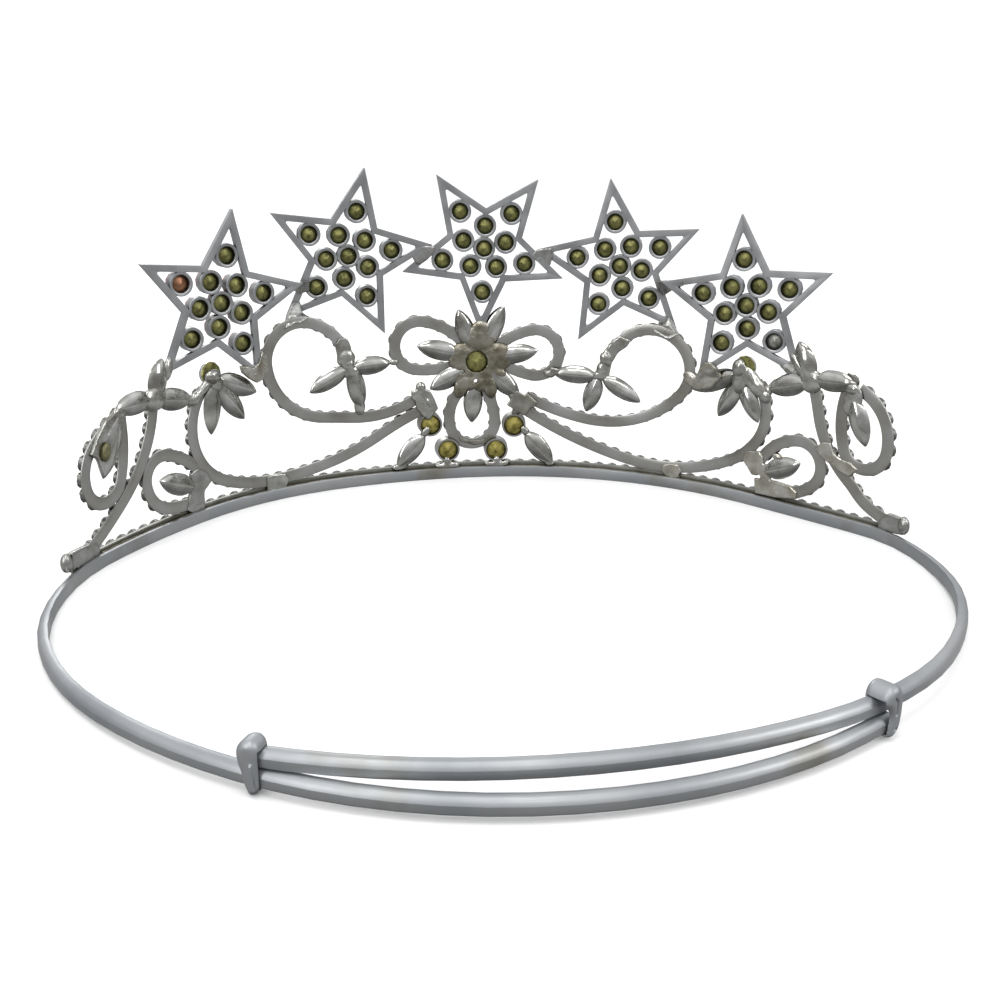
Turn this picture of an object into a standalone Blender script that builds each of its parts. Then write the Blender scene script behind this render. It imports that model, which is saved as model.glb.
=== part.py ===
"""Star crown: a soldered tiara of five star plates over scrolls of cup chain, on a springy head band.

The ornament is laid out flat and then bent round the band. u runs along the band from the middle of
its front, positive towards the wearer's left, v is the height above the band's underside, and w is the
distance outwards from the band's inner face. All sizes are in millimetres and become metres in bend().
In the finished object +X is the wearer's left, -Y the front and +Z up.
"""

import math

import bmesh
import bpy
from mathutils import Matrix, Vector

MM = 0.001
GAP = 0.3                       # air left between pieces that are soldered together

# Head band: where its front middle is, and its bends as (length, radius) from there to each end
FRONT = (-1.25, -62.78)
LEFT_BENDS = [(30, 99.5), (30, 55.7), (25, 117.7), (12, 37.8), (25, 51.0), (25, 64.0), (30, 81.2),
              (40, 70.0), (80, 73.8)]
RIGHT_BENDS = [(30, 67.9), (30, 63.5), (25, 752.0), (12, 22.3), (25, 48.1), (25, 88.0), (30, 57.3),
               (40, 101.8), (80, 93.5)]
LEFT_END = 257.0
RIGHT_END = 248.2
BAND_HEIGHT = 2.3
BAND_THICK = 1.7
BAND_TOP_FLAT = 1.2
LEFT_RISE = (100.0, 170.0, 1.0)     # the band lifts between these lengths, by this much
RIGHT_RISE = (95.0, 170.0, 3.5)
BAND_STEP = 5.4

# Collars
COLLAR_WALL = 0.6
COLLAR_LENGTH = 2.4
COLLAR_BOTTOM = 0.0
COLLAR_TOP = 7.2
# (name, length along the left strip, length along the right strip, width of the slot across them)
COLLARS = [
    ("left_collar", 174.6, -247.3, 2.2),
    ("right_collar", 255.8, -168.2, 2.8),
]

# Cup chain
CHAIN_PITCH = 2.8
CHAIN_BACK_WIDTH = 2.2
CHAIN_CUP_WIDTH = 2.6
CHAIN_WAIST_WIDTH = 1.9
CHAIN_BACK = 0.9
CHAIN_FRONT = 3.0
BASE_CUPS_LEFT = 31
BASE_CUPS_RIGHT = 32
BASE_BACK = BAND_THICK + GAP
BASE_FRONT = 3.0
BASE_MIDDLE = 1.65                # height of its middle line at the front, dropping to its ends
BASE_DROP = 0.3

# Star plates
STAR_RADIUS = 17.5
STAR_NOTCH = 0.46 * STAR_RADIUS
STAR_BAR = 1.25
STAR_PLATE = 1.0
STAR_CUP_RADIUS = 2.4
STAR_CUP_FRONT = 2.5
STAR_CUP_SETBACK = 0.1
STAR_RING = 0.259 * STAR_RADIUS
STAR_ARM_CUP = 0.508 * STAR_RADIUS

# Round cups and leaves
ROUND_CUP_RADIUS = 2.65
ROUND_CUP_BACK = 0.3
ROUND_CUP_FRONT = 3.2
LEAF_BACK = -0.3
LEAF_FRONT = 1.9
HUB_RADIUS = 3.9


def along(u):
    """Plan position and heading (radians) of the band's inner face at length u from its front middle."""
    side = 1 if u >= 0 else -1
    bends = LEFT_BENDS if side > 0 else RIGHT_BENDS
    x, y = FRONT
    heading = 0.0
    left = abs(u)
    for length, radius in bends:
        step = min(left, length)
        turn = step / radius
        x += side * radius * (math.sin(heading + turn) - math.sin(heading))
        y += radius * (math.cos(heading) - math.cos(heading + turn))
        heading += turn
        left -= step
        if left <= 0:
            break
    return x, y, side * heading


def bend(u, v, w):
    """The point of the flat layout (u, v, w), bent round the band, in metres."""
    x, y, heading = along(u)
    return Vector((x + w * math.sin(heading), y - w * math.cos(heading), v)) * MM


def rise(u):
    """How far the band is lifted at length u."""
    start, end, height = LEFT_RISE if u >= 0 else RIGHT_RISE
    t = min(max((abs(u) - start) / (end - start), 0.0), 1.0)
    return height * t * t * (3 - 2 * t)


def seat(u, v, w, turn=0.0, off_tangent=0.0, lean=0.0):
    """Where a flat piece sits: its X along the band, its Y up and its Z outwards, turned in its own plane."""
    heading = along(u)[2] + math.radians(off_tangent)
    upright = Matrix.Rotation(heading, 4, "Z") @ Matrix.Rotation(math.radians(90 + lean), 4, "X")
    return Matrix.Translation(bend(u, v, w)) @ upright @ Matrix.Rotation(math.radians(turn), 4, "Z")


def new_collection(name):
    collection = bpy.data.collections.new(name)
    bpy.context.scene.collection.children.link(collection)
    return collection


def new_material(name, colour, roughness, metallic):
    material = bpy.data.materials.new(name)
    material.use_nodes = True
    shader = material.node_tree.nodes["Principled BSDF"]
    shader.inputs["Base Color"].default_value = (*colour, 1)
    shader.inputs["Roughness"].default_value = roughness
    shader.inputs["Metallic"].default_value = metallic
    return material


def piece_from_mesh(name, mesh, material, collection):
    piece = bpy.data.objects.new(name, mesh)
    piece.data.materials.clear()
    piece.data.materials.append(material)
    collection.objects.link(piece)
    return piece


def loft(name, rings, point=None):
    """A closed mesh through rings of points that all have the same count, ending in a flat or a point."""
    shape = bmesh.new()
    loops = [[shape.verts.new(corner) for corner in ring] for ring in rings]
    count = len(loops[0])
    for here, there in zip(loops, loops[1:]):
        for i in range(count):
            j = (i + 1) % count
            shape.faces.new((here[i], here[j], there[j], there[i]))
    shape.faces.new(reversed(loops[0]))
    if point is None:
        shape.faces.new(loops[-1])
    else:
        last = shape.verts.new(point)
        for i in range(count):
            shape.faces.new((loops[-1][i], loops[-1][(i + 1) % count], last))
    bmesh.ops.recalc_face_normals(shape, faces=shape.faces)
    mesh = bpy.data.meshes.new(name)
    shape.to_mesh(mesh)
    shape.free()
    return mesh


def flat_plate(name, outlines, back, front):
    """A plate with these closed outlines (the outer one and any holes), between two depths, as a mesh."""
    curve = bpy.data.curves.new(name, "CURVE")
    curve.dimensions = "2D"
    curve.fill_mode = "BOTH"
    curve.extrude = (front - back) / 2 * MM
    for outline in outlines:
        spline = curve.splines.new("POLY")
        spline.points.add(len(outline) - 1)
        spline.use_cyclic_u = True
        for point, (x, y) in zip(spline.points, outline):
            point.co = (x * MM, y * MM, 0, 1)
    drawn = bpy.data.objects.new(name, curve)
    bpy.context.scene.collection.objects.link(drawn)
    solid = bpy.data.meshes.new_from_object(drawn.evaluated_get(bpy.context.evaluated_depsgraph_get()))
    shape = bmesh.new()
    shape.from_mesh(solid)
    bmesh.ops.remove_doubles(shape, verts=shape.verts, dist=0.00001)
    bmesh.ops.translate(shape, verts=shape.verts, vec=(0, 0, (front + back) / 2 * MM))
    bmesh.ops.recalc_face_normals(shape, faces=shape.faces)
    shape.to_mesh(solid)
    shape.free()
    bpy.data.objects.remove(drawn)
    return solid


def disc(name, radius, back, front, sides, x=0.0, y=0.0, turn=0.0):
    """A round block between two depths, as a mesh."""
    place = Matrix.Translation(Vector((x, y, (front + back) / 2)) * MM) @ Matrix.Rotation(turn, 4, "Z")
    shape = bmesh.new()
    bmesh.ops.create_cone(shape, cap_ends=True, segments=sides, radius1=radius * MM, radius2=radius * MM,
                          depth=(front - back) * MM, matrix=place)
    mesh = bpy.data.meshes.new(name)
    shape.to_mesh(mesh)
    shape.free()
    return mesh


def combined(name, meshes, operation, collection):
    """The first mesh, with the others joined to it (UNION) or cut from it (DIFFERENCE)."""
    base = bpy.data.objects.new(f"{name}_{operation.lower()}", meshes[0])
    collection.objects.link(base)
    for number, mesh in enumerate(meshes[1:]):
        other = bpy.data.objects.new(f"{name}_{operation.lower()}_{number}", mesh)
        other.hide_render = True
        other.display_type = "WIRE"
        collection.objects.link(other)
        change = base.modifiers.new(operation.lower(), "BOOLEAN")
        change.operation = operation
        change.solver = "EXACT"
        change.object = other
    solid = bpy.data.meshes.new_from_object(base.evaluated_get(bpy.context.evaluated_depsgraph_get()))
    base.hide_render = True
    base.display_type = "WIRE"
    return solid


def smoothed(mesh, angle=40):
    mesh.shade_smooth()
    mesh.set_sharp_from_angle(angle=math.radians(angle))
    return mesh


def walk(start, heading, bends, step):
    """Points (u, v, direction) about one step apart along a strip drawn as bends (length, radius).

    A positive radius turns anticlockwise as seen from the front, with u to the right and v up.
    """
    u, v = start
    direction = math.radians(heading)
    points = [(u, v, direction)]
    total = sum(length for length, radius in bends)
    count = round(total / step)
    step = total / count
    for number in range(count):
        remaining = step
        while remaining > 1e-9:
            done = number * step + step - remaining
            passed = 0.0
            for length, radius in bends:
                passed += length
                if done < passed - 1e-9:
                    break
            part = min(remaining, passed - done)
            turn = part / radius
            u += radius * (math.sin(direction + turn) - math.sin(direction))
            v += radius * (math.cos(direction) - math.cos(direction + turn))
            direction += turn
            remaining -= part
        points.append((u, v, direction))
    return points


def chain_ring(u, v, direction, front_width, back, front, back_width=CHAIN_BACK_WIDTH):
    """Four corners of the cup chain's section, square to its direction: flat narrow back, cups in front."""
    across = (-math.sin(direction), math.cos(direction))
    corners = [(-back_width / 2, back), (back_width / 2, back), (front_width / 2, front),
               (-front_width / 2, front)]
    return [bend(u + side * across[0], v + side * across[1], w) for side, w in corners]


def chain_strip(name, start, heading, bends, spare=0.0):
    """A bent strip of cup chain: its front edges swing out at each cup and in between two cups.

    With spare, it is that much larger all round, to cut a neighbour clear of it.
    """
    points = walk(start, heading, bends, CHAIN_PITCH / 2)
    widths = [CHAIN_WAIST_WIDTH + 2 * spare, CHAIN_CUP_WIDTH + 2 * spare]
    rings = [chain_ring(u, v, direction, widths[i % 2], CHAIN_BACK - spare, CHAIN_FRONT + spare,
                        CHAIN_BACK_WIDTH + 2 * spare)
             for i, (u, v, direction) in enumerate(points)]
    return loft(name, rings)


def band_ring(u):
    """Section of the band at length u: flat inside, a flat top edge and a low dome outside."""
    lift = rise(u)
    outline = [(0.0, 0.0), (BAND_TOP_FLAT, 0.0), (BAND_THICK, 0.35 * BAND_HEIGHT),
               (BAND_THICK, 0.65 * BAND_HEIGHT), (BAND_TOP_FLAT, BAND_HEIGHT), (0.0, BAND_HEIGHT)]
    return [bend(u, lift + v, w) for w, v in outline]


def make_band():
    count = round((LEFT_END + RIGHT_END) / BAND_STEP)
    step = (LEFT_END + RIGHT_END) / count
    return loft("band", [band_ring(-RIGHT_END + i * step) for i in range(count + 1)])


def make_base_strip():
    rings = []
    for i in range(-2 * BASE_CUPS_RIGHT, 2 * BASE_CUPS_LEFT + 1):
        u = i * CHAIN_PITCH / 2
        middle = BASE_MIDDLE - BASE_DROP * (u / BASE_CUPS_RIGHT / CHAIN_PITCH) ** 2
        width = CHAIN_CUP_WIDTH if i % 2 else CHAIN_WAIST_WIDTH
        rings.append(chain_ring(u, middle, 0.0, width, BASE_BACK, BASE_FRONT))
    return loft("base_stone_strip", rings)


def rounded_box(width, height, radius, steps=3):
    """Corner points of a rectangle with round corners, centred on zero."""
    points = []
    for quarter, (sx, sy) in enumerate([(1, 1), (-1, 1), (-1, -1), (1, -1)]):
        for i in range(steps + 1):
            angle = math.radians(90 * quarter + 90 * i / steps)
            x = sx * (width / 2 - radius) + radius * math.cos(angle)
            y = sy * (height / 2 - radius) + radius * math.sin(angle)
            points.append((x, y))
    return points


def make_collar(name, lower, upper, slot_thick):
    """A ring round the two strips, one above the other, square to the middle direction between them."""
    height = COLLAR_TOP - COLLAR_BOTTOM
    outer = rounded_box(slot_thick + 2 * COLLAR_WALL, height, 1.0)
    slot = rounded_box(slot_thick, height - 2 * COLLAR_WALL, 0.3, steps=1)
    ring = flat_plate(name, [outer, slot], -COLLAR_LENGTH / 2, COLLAR_LENGTH / 2)
    middle = (COLLAR_TOP + COLLAR_BOTTOM) / 2
    centre = (bend(lower, middle, BAND_THICK / 2) + bend(upper, middle, BAND_THICK / 2)) / 2
    heading = (along(lower)[2] + along(upper)[2]) / 2 + math.pi
    facing = Matrix.Rotation(heading - math.pi / 2, 4, "Z") @ Matrix.Rotation(math.pi / 2, 4, "X")
    ring.transform(Matrix.Translation(centre) @ facing)
    return ring


def star_outline(tip, notch):
    """Ten corners of a star standing on two points."""
    points = []
    for k in range(10):
        radius = notch if k % 2 else tip
        angle = math.radians(90 + 36 * k)
        points.append((radius * math.cos(angle), radius * math.sin(angle)))
    return points


def make_star(cutters):
    """The star plate with its eleven cups: one in the middle, five by the notches and five in the arms."""
    edge_distance = STAR_RADIUS * STAR_NOTCH * math.sin(math.radians(36)) / math.hypot(
        STAR_RADIUS - STAR_NOTCH * math.cos(math.radians(36)), STAR_NOTCH * math.sin(math.radians(36)))
    inner = 1 - STAR_BAR / edge_distance
    frame = flat_plate("star_frame", [star_outline(STAR_RADIUS, STAR_NOTCH),
                                      star_outline(inner * STAR_RADIUS, inner * STAR_NOTCH)], 0, STAR_PLATE)
    places = [(0.0, 0.0, 0.0)]
    for k in range(5):
        arm = math.radians(90 + 72 * k)
        notch = arm + math.radians(36)
        places.append((STAR_ARM_CUP * math.cos(arm), STAR_ARM_CUP * math.sin(arm), arm))
        places.append((STAR_RING * math.cos(notch), STAR_RING * math.sin(notch), notch))
    cups = [disc("star_cup", STAR_CUP_RADIUS, STAR_CUP_SETBACK, STAR_CUP_FRONT - 0.05 * (i % 3), 8, x, y, turn)
            for i, (x, y, turn) in enumerate(places)]
    return combined("star_blank", [frame] + cups, "UNION", cutters)


def leaf(name, base, tip, width, back=LEAF_BACK, front=LEAF_FRONT):
    """A pointed leaf with a ridge along its back and its front, narrow where it leaves its stem."""
    direction = math.atan2(tip[1] - base[1], tip[0] - base[0])
    across = (-math.sin(direction), math.cos(direction))
    middle = (back + front) / 2
    rings = []
    for t, share in [(0.0, 0.35), (0.32, 0.95), (0.68, 0.85)]:
        u = base[0] + t * (tip[0] - base[0])
        v = base[1] + t * (tip[1] - base[1])
        half = width / 2 * share
        ridge = (front - back) / 2 * (0.35 + 0.65 * share)
        rings.append([bend(u + half * across[0], v + half * across[1], middle), bend(u, v, middle + ridge),
                      bend(u - half * across[0], v - half * across[1], middle), bend(u, v, middle - ridge)])
    return loft(name, rings, point=bend(tip[0], tip[1], middle))


def seated_disc(name, u, v, radius, back, front, sides):
    block = disc(name, radius, back, front, sides)
    block.transform(seat(u, v, 0))
    return block


def spray(name, hub, hub_radius, leaves, width, cutters, cup=None):
    """Leaves joined at a hub, with a raised stone cup on the hub if one is given as (radius, front)."""
    parts = [seated_disc(f"{name}_hub", hub[0], hub[1], hub_radius, LEAF_BACK + 0.25, LEAF_FRONT - 0.25, 8)]
    for number, (base, tip) in enumerate(leaves):
        reach = math.hypot(base[0] - hub[0], base[1] - hub[1])
        pull = max(0.0, 1 - 0.5 * hub_radius / max(reach, 0.01))
        root = (base[0] + (hub[0] - base[0]) * pull, base[1] + (hub[1] - base[1]) * pull)
        parts.append(leaf(f"{name}_leaf_{number}", root, tip, width))
    if cup:
        parts.append(seated_disc(f"{name}_cup", hub[0], hub[1], cup[0], 0.6, cup[1], 12))
    return combined(name, parts, "UNION", cutters)


# (name, start, heading in degrees, bends) of every strip of cup chain
CHAIN_STRIPS = [
    ("left_upper_scroll", (10.6, 18.9), -36, [(16.1, 21.8), (6.2, 900), (17.7, 13.2), (14.2, 7.5), (8.7, 10.2)]),
    ("left_lower_scroll", (9.7, 16.0), -23, [(12.0, -83.2), (25.3, 44.0), (10.2, 26.7), (21.7, 11.9)]),
    ("left_end_strip", (70.55, 24.6), -79, [(17.1, 24.6), (7.9, 49.2), (8.9, 16.2)]),
    ("left_teardrop", (78.6, 25.2), -21, [(8.8, -29.1), (7.7, -6.6), (11.4, -4.5), (9.3, -25.2)]),
    ("left_ring", (61.9, 4.1), 94, [(5.6, 60.0), (1.9, -1.9), (7.3, -17.3), (8.2, -4.3), (8.5, -6.3), (3.6, -31.4)]),
    ("left_flower_loop", (2.5, 29.7), 48, [(9.5, -14.0), (16.2, -5.1), (8.1, -20.7)]),
    ("right_flower_loop", (-4.9, 28.5), 139, [(8.0, 15.1), (17.5, 4.9), (7.5, 22.6)]),
    ("lower_flower_loop", (3.2, 18.8), -49, [(8.5, -8.5), (14.0, -4.8), (6.9, -15.5)]),
    ("right_upper_scroll", (-11.4, 17.5), -152, [(13.1, -42.9), (21.7, -21.3), (10.5, -7.7), (14.6, -8.6)]),
    ("right_lower_scroll", (-11.1, 14.65), -146, [(22.7, -67.7), (25.0, -32.3), (7.0, -15.2), (11.9, -9.8)]),
    ("right_end_strip", (-72.6, 26.0), -108, [(5.3, 83.7), (13.5, -21.4), (2.8, 20.3), (11.1, -12.2)]),
    ("right_teardrop", (-79.5, 26.8), -74, [(11.7, -18.5), (11.6, -4.4), (13.0, -10.3)]),
    ("right_ring", (-63.2, 11.0), 126, [(8.0, 10.3), (12.8, 4.9), (9.1, 10.3)]),
]

# (name, centre u and v, turn, heading off the band's, lean, depth of its back) of the five stars
STARS = [
    ("star_red", (53.0, 41.1), 10.7, -9.8, -0.5, 0.0),
    ("star_green", (25.4, 47.9), 12.2, -5.0, -1.5, 1.4),
    ("star_white", (-2.1, 48.9), 182.6, -2.6, -0.6, 0.0),
    ("star_yellow", (-29.7, 45.6), -8.2, 6.9, 0.0, 1.4),
    ("star_blue", (-56.9, 39.9), -6.3, 15.9, -0.9, 0.0),
]

FLOWER_AT = (-0.5, 25.5)
FLOWER_LEAVES = [
    ((0.8, 30.3), (3.4, 36.3)), ((-3.0, 30.2), (-6.3, 36.9)), ((5.0, 27.7), (11.9, 29.2)),
    ((-7.4, 27.0), (-13.2, 27.7)), ((3.4, 22.9), (9.3, 20.0)), ((-4.5, 22.5), (-9.5, 17.7)),
    ((0.2, 18.5), (0.5, 12.3)),
]

# (name, hub, hub radius, leaves from base to tip, leaf width, raised cup)
SPRAYS = [
    ("left_scroll_spray", (25.9, 25.3), 1.3,
     [((27.0, 24.8), (34.7, 21.2)), ((25.5, 24.2), (24.1, 16.5)), ((24.6, 25.4), (17.7, 26.0))], 3.6, None),
    ("right_scroll_spray", (-26.5, 22.4), 1.3,
     [((-28.0, 21.4), (-35.3, 17.9)), ((-25.9, 20.8), (-23.8, 14.8)), ((-24.4, 22.5), (-17.0, 22.8))], 3.6, None),
    ("left_side_spray", (55.8, 27.7), 1.9,
     [((54.1, 27.2), (46.3, 23.4)), ((56.3, 25.5), (57.2, 16.6)), ((54.7, 25.0), (49.6, 18.3))], 3.8, (2.2, 2.9)),
    ("right_side_spray", (-57.0, 27.0), 1.9,
     [((-54.2, 26.0), (-46.3, 21.9)), ((-55.5, 23.6), (-52.0, 17.0)), ((-56.8, 23.8), (-61.0, 17.3))], 3.8,
     (2.2, 2.9)),
    ("left_end_spray", (70.2, 26.4), 1.5,
     [((70.4, 26.0), (67.1, 32.9)), ((68.7, 25.7), (61.0, 24.5)), ((72.5, 26.9), (79.9, 26.9))], 3.6, None),
    ("right_end_spray", (-71.9, 27.6), 1.5,
     [((-71.5, 27.9), (-69.2, 33.7)), ((-70.3, 26.4), (-62.6, 24.3)), ((-74.0, 28.5), (-81.4, 29.0))], 3.6, None),
]

# (name, base, tip, width) of the single leaves
SINGLE_LEAVES = [
    ("left_foot_leaf", (11.3, 9.2), (16.8, 3.0), 3.8),
    ("right_foot_leaf", (-10.9, 8.9), (-16.6, 2.7), 3.6),
    ("left_teardrop_leaf", (81.6, 21.8), (84.9, 15.1), 3.4),
    ("right_teardrop_leaf", (-81.9, 23.8), (-84.3, 17.2), 3.2),
    ("left_ring_leaf", (63.0, 7.7), (70.8, 10.9), 3.4),
    ("right_ring_leaf", (-63.9, 8.2), (-71.0, 10.7), 3.4),
]

ROUND_CUPS = [
    ("left_outer_round_cup", (9.4, 12.1)),
    ("left_inner_round_cup", (5.7, 6.3)),
    ("right_inner_round_cup", (-4.7, 6.0)),
    ("right_outer_round_cup", (-8.5, 11.4)),
]


# Which pieces are filed back where a strip of cup chain lies against them
FILED_TO_FIT = {
    "centre_flower": ["left_flower_loop", "right_flower_loop"],
    "left_inner_round_cup": ["lower_flower_loop"],
    "right_inner_round_cup": ["lower_flower_loop"],
    "left_outer_round_cup": ["left_lower_scroll"],
    "left_ring": ["left_lower_scroll"],
}


def filed(name, mesh, cutters):
    """The mesh, cut clear of the strips that lie against it."""
    strips = [strip for strip in CHAIN_STRIPS if strip[0] in FILED_TO_FIT.get(name, [])]
    if not strips:
        return mesh
    tools = [chain_strip(f"{strip[0]}_clearance", *strip[1:], spare=GAP) for strip in strips]
    return combined(name, [mesh] + tools, "DIFFERENCE", cutters)


def build():
    for old in list(bpy.data.objects):
        bpy.data.objects.remove(old)
    crown = new_collection("star_crown")
    cutters = new_collection("cutters")
    cutters.hide_render = True

    band_metal = new_material("band_metal", (0.42, 0.44, 0.46), 0.32, 1.0)
    strip_metal = new_material("strip_metal", (0.40, 0.41, 0.41), 0.45, 1.0)
    star_metal = new_material("star_metal", (0.36, 0.37, 0.39), 0.5, 1.0)
    leaf_metal = new_material("leaf_metal", (0.5, 0.5, 0.48), 0.25, 1.0)

    piece_from_mesh("band", smoothed(make_band(), 30), band_metal, crown)
    for collar in COLLARS:
        piece_from_mesh(collar[0], make_collar(*collar), band_metal, crown)
    piece_from_mesh("base_stone_strip", make_base_strip(), strip_metal, crown)
    for name, start, heading, bends in CHAIN_STRIPS:
        strip = filed(name, chain_strip(name, start, heading, bends), cutters)
        piece_from_mesh(name, strip, strip_metal, crown)

    blank = make_star(cutters)
    for name, (u, v), turn, off_tangent, lean, back in STARS:
        star = piece_from_mesh(name, blank.copy(), star_metal, crown)
        star.matrix_world = seat(u, v, back, turn, off_tangent, lean)

    flower = spray("centre_flower", FLOWER_AT, HUB_RADIUS, FLOWER_LEAVES, 3.6, cutters, (2.8, 3.4))
    piece_from_mesh("centre_flower", filed("centre_flower", flower, cutters), leaf_metal, crown)
    for name, hub, hub_radius, leaves, width, cup in SPRAYS:
        piece_from_mesh(name, spray(name, hub, hub_radius, leaves, width, cutters, cup), leaf_metal, crown)
    for name, base, tip, width in SINGLE_LEAVES:
        piece_from_mesh(name, leaf(name, base, tip, width), leaf_metal, crown)
    for name, (u, v) in ROUND_CUPS:
        cup = seated_disc(name, u, v, ROUND_CUP_RADIUS, ROUND_CUP_BACK, ROUND_CUP_FRONT, 16)
        piece_from_mesh(name, smoothed(filed(name, cup, cutters)), strip_metal, crown)


build()
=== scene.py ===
import math

import bmesh
import bpy
from mathutils import Matrix, Vector


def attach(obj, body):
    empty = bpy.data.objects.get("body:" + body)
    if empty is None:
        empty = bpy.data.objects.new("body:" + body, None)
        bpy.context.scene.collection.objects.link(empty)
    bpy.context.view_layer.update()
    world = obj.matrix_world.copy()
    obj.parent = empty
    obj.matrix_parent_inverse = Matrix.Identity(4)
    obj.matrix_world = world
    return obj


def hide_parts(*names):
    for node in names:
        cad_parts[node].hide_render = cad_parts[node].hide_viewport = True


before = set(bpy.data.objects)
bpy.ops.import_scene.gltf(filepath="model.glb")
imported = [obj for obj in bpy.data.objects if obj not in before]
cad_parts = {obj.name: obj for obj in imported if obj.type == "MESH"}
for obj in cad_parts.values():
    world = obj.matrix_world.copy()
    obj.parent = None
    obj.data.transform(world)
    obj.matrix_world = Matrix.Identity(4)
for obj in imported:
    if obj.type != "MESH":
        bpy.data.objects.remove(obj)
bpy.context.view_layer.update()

# Eastern star crown: five soldered star plates over scrolls of cup chain, on a springy head band.
#
# Each piece is made lying on its back, stones up, in a flat layout in millimetres: u along the band from
# the middle of its front (X, towards the wearer's left), v up the crown (Y) and w outwards (Z). It is then
# stood up, bent round the band and brought to metres. In the finished crown -Y is the front and +Z is up.

TO_METRES = Matrix.Scale(0.001, 4)

# ---------------------------------------------------------------- the layout of the crown

# The band's inner face in plan: its front middle, then its bends each way as (length, radius), where its
# ends are, and over which lengths it rises and by how much. The line it is bent along runs past both ends.
FRONT = (-1.25, -62.78)
LEFT_BENDS = [(30, 99.5), (30, 55.7), (25, 117.7), (12, 37.8), (25, 51.0), (25, 64.0), (30, 81.2),
              (40, 70.0), (80, 73.8)]
RIGHT_BENDS = [(30, 67.9), (30, 63.5), (25, 752.0), (12, 22.3), (25, 48.1), (25, 88.0), (30, 57.3),
               (40, 101.8), (80, 93.5)]
LEFT_END = 257.0
RIGHT_END = 248.2
LEFT_RISE = (100.0, 170.0, 1.0)
RIGHT_RISE = (95.0, 170.0, 3.5)
LINE_START = -252.0
LINE_END = 262.0

# Points for each millimetre of the band's line, and how close counts as level
LINE_STEPS = 4
NEAR = 0.01

BAND_HEIGHT = 2.3
BAND_THICK = 1.62
BAND_SHOULDER = 0.95
BAND_LOWER_EDGE = 0.34
BAND_INNER_EDGE = 0.14
BAND_CUTS = 339

# The depths of a strip of cup chain are those of its back, the front of its plate and its stones' tables
CHAIN_PITCH = 2.8
CHAIN_WIDTH = 2.35
CHAIN_EDGE = 0.12
CHAIN_CUT = 0.7
WALK_STEP = 0.35
CHAIN_DEPTHS = (0.9, 1.25, 2.2)
CUP_RADIUS = 1.4
CUP_RIM = 0.28
CUP_SEAT = 0.35
CUP_SUNK = 0.15
CUP_BELOW = 0.42
CLAW_HEIGHT = 0.28
CLAW_LEAN = 0.84
CHAIN_STONE_RADIUS = 0.98
CHAIN_STONE_DEPTHS = (1.0, 0.9, 0.62, 0.45, 0.05)
BASE_DEPTHS = (1.25, 2.05, 3.1)
BASE_MIDDLE = 1.95
BASE_DROP = 0.3
BASE_CUPS_LEFT = 31
BASE_CUPS_RIGHT = 32

STAR_RADIUS = 17.5
STAR_NOTCH = 0.46
STAR_BAR = 1.25
STAR_PLATE = 1.0
STAR_INNER_CORNER = 0.7
STAR_TIP_CORNER = 0.12
STAR_EDGE = 0.1
STAR_RING = 0.259 * STAR_RADIUS
STAR_ARM_CUP = 0.508 * STAR_RADIUS
STAR_CUP_RADIUS = 2.28
STAR_CUP_DEPTHS = (0.1, 1.85)
STAR_CUP_RIM = 0.52
STAR_CUP_LIP = 0.12
STAR_CUP_WALL = 0.2
STAR_STONE_RADIUS = 2.3
STAR_STONE_DEPTHS = (0.38, 1.1, 1.9, 2.1, 2.5)
STAR_FOIL_EDGE = 1.2

# (name, start, heading in degrees, bends) of every strip of cup chain
CHAIN_STRIPS = [
    ("left_upper_scroll", (10.6, 18.9), -36, [(16.1, 21.8), (6.2, 900), (17.7, 13.2), (14.2, 7.5),
        (8.7, 10.2)]),
    ("left_lower_scroll", (9.7, 16), -23, [(12, -83.2), (25.3, 44), (10.2, 26.7), (21.7, 11.9)]),
    ("left_end_strip", (70.55, 24.6), -79, [(17.1, 24.6), (8.8, 54), (8.4, 15.8)]),
    ("left_teardrop", (78.6, 25.2), -21, [(8.8, -29.1), (7.7, -6.6), (11.4, -4.5), (9.3, -25.2)]),
    ("left_ring", (61.9, 4.1), 94, [(5.6, 60), (1.9, -1.9), (7.3, -17.3), (8.2, -4.3), (8.5, -6.3),
        (3.6, -31.4)]),
    ("left_flower_loop", (2.5, 29.7), 48, [(9.5, -14), (16.2, -5.1), (8.1, -20.7)]),
    ("right_flower_loop", (-4.9, 28.5), 139, [(8, 15.1), (17.5, 4.9), (7.5, 22.6)]),
    ("lower_flower_loop", (3.2, 18.8), -49, [(8.5, -8.5), (14, -4.8), (6.9, -15.5)]),
    ("right_upper_scroll", (-11.4, 17.5), -152, [(13.1, -42.9), (21.7, -21.3), (10.5, -7.7), (14.6, -8.6)]),
    ("right_lower_scroll", (-11.1, 14.65), -146, [(22.7, -67.7), (25, -32.3), (7, -15.2), (11.9, -9.8)]),
    ("right_end_strip", (-72.6, 26), -108, [(5.3, 83.7), (13.5, -21.4), (2.8, 20.3), (11.1, -12.2)]),
    ("right_teardrop", (-79.5, 26.8), -74, [(11.7, -18.5), (11.6, -4.4), (13, -10.3)]),
    ("right_ring", (-63.2, 11), 126, [(8, 10.3), (12.8, 4.9), (9.1, 10.3)]),
]

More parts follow.
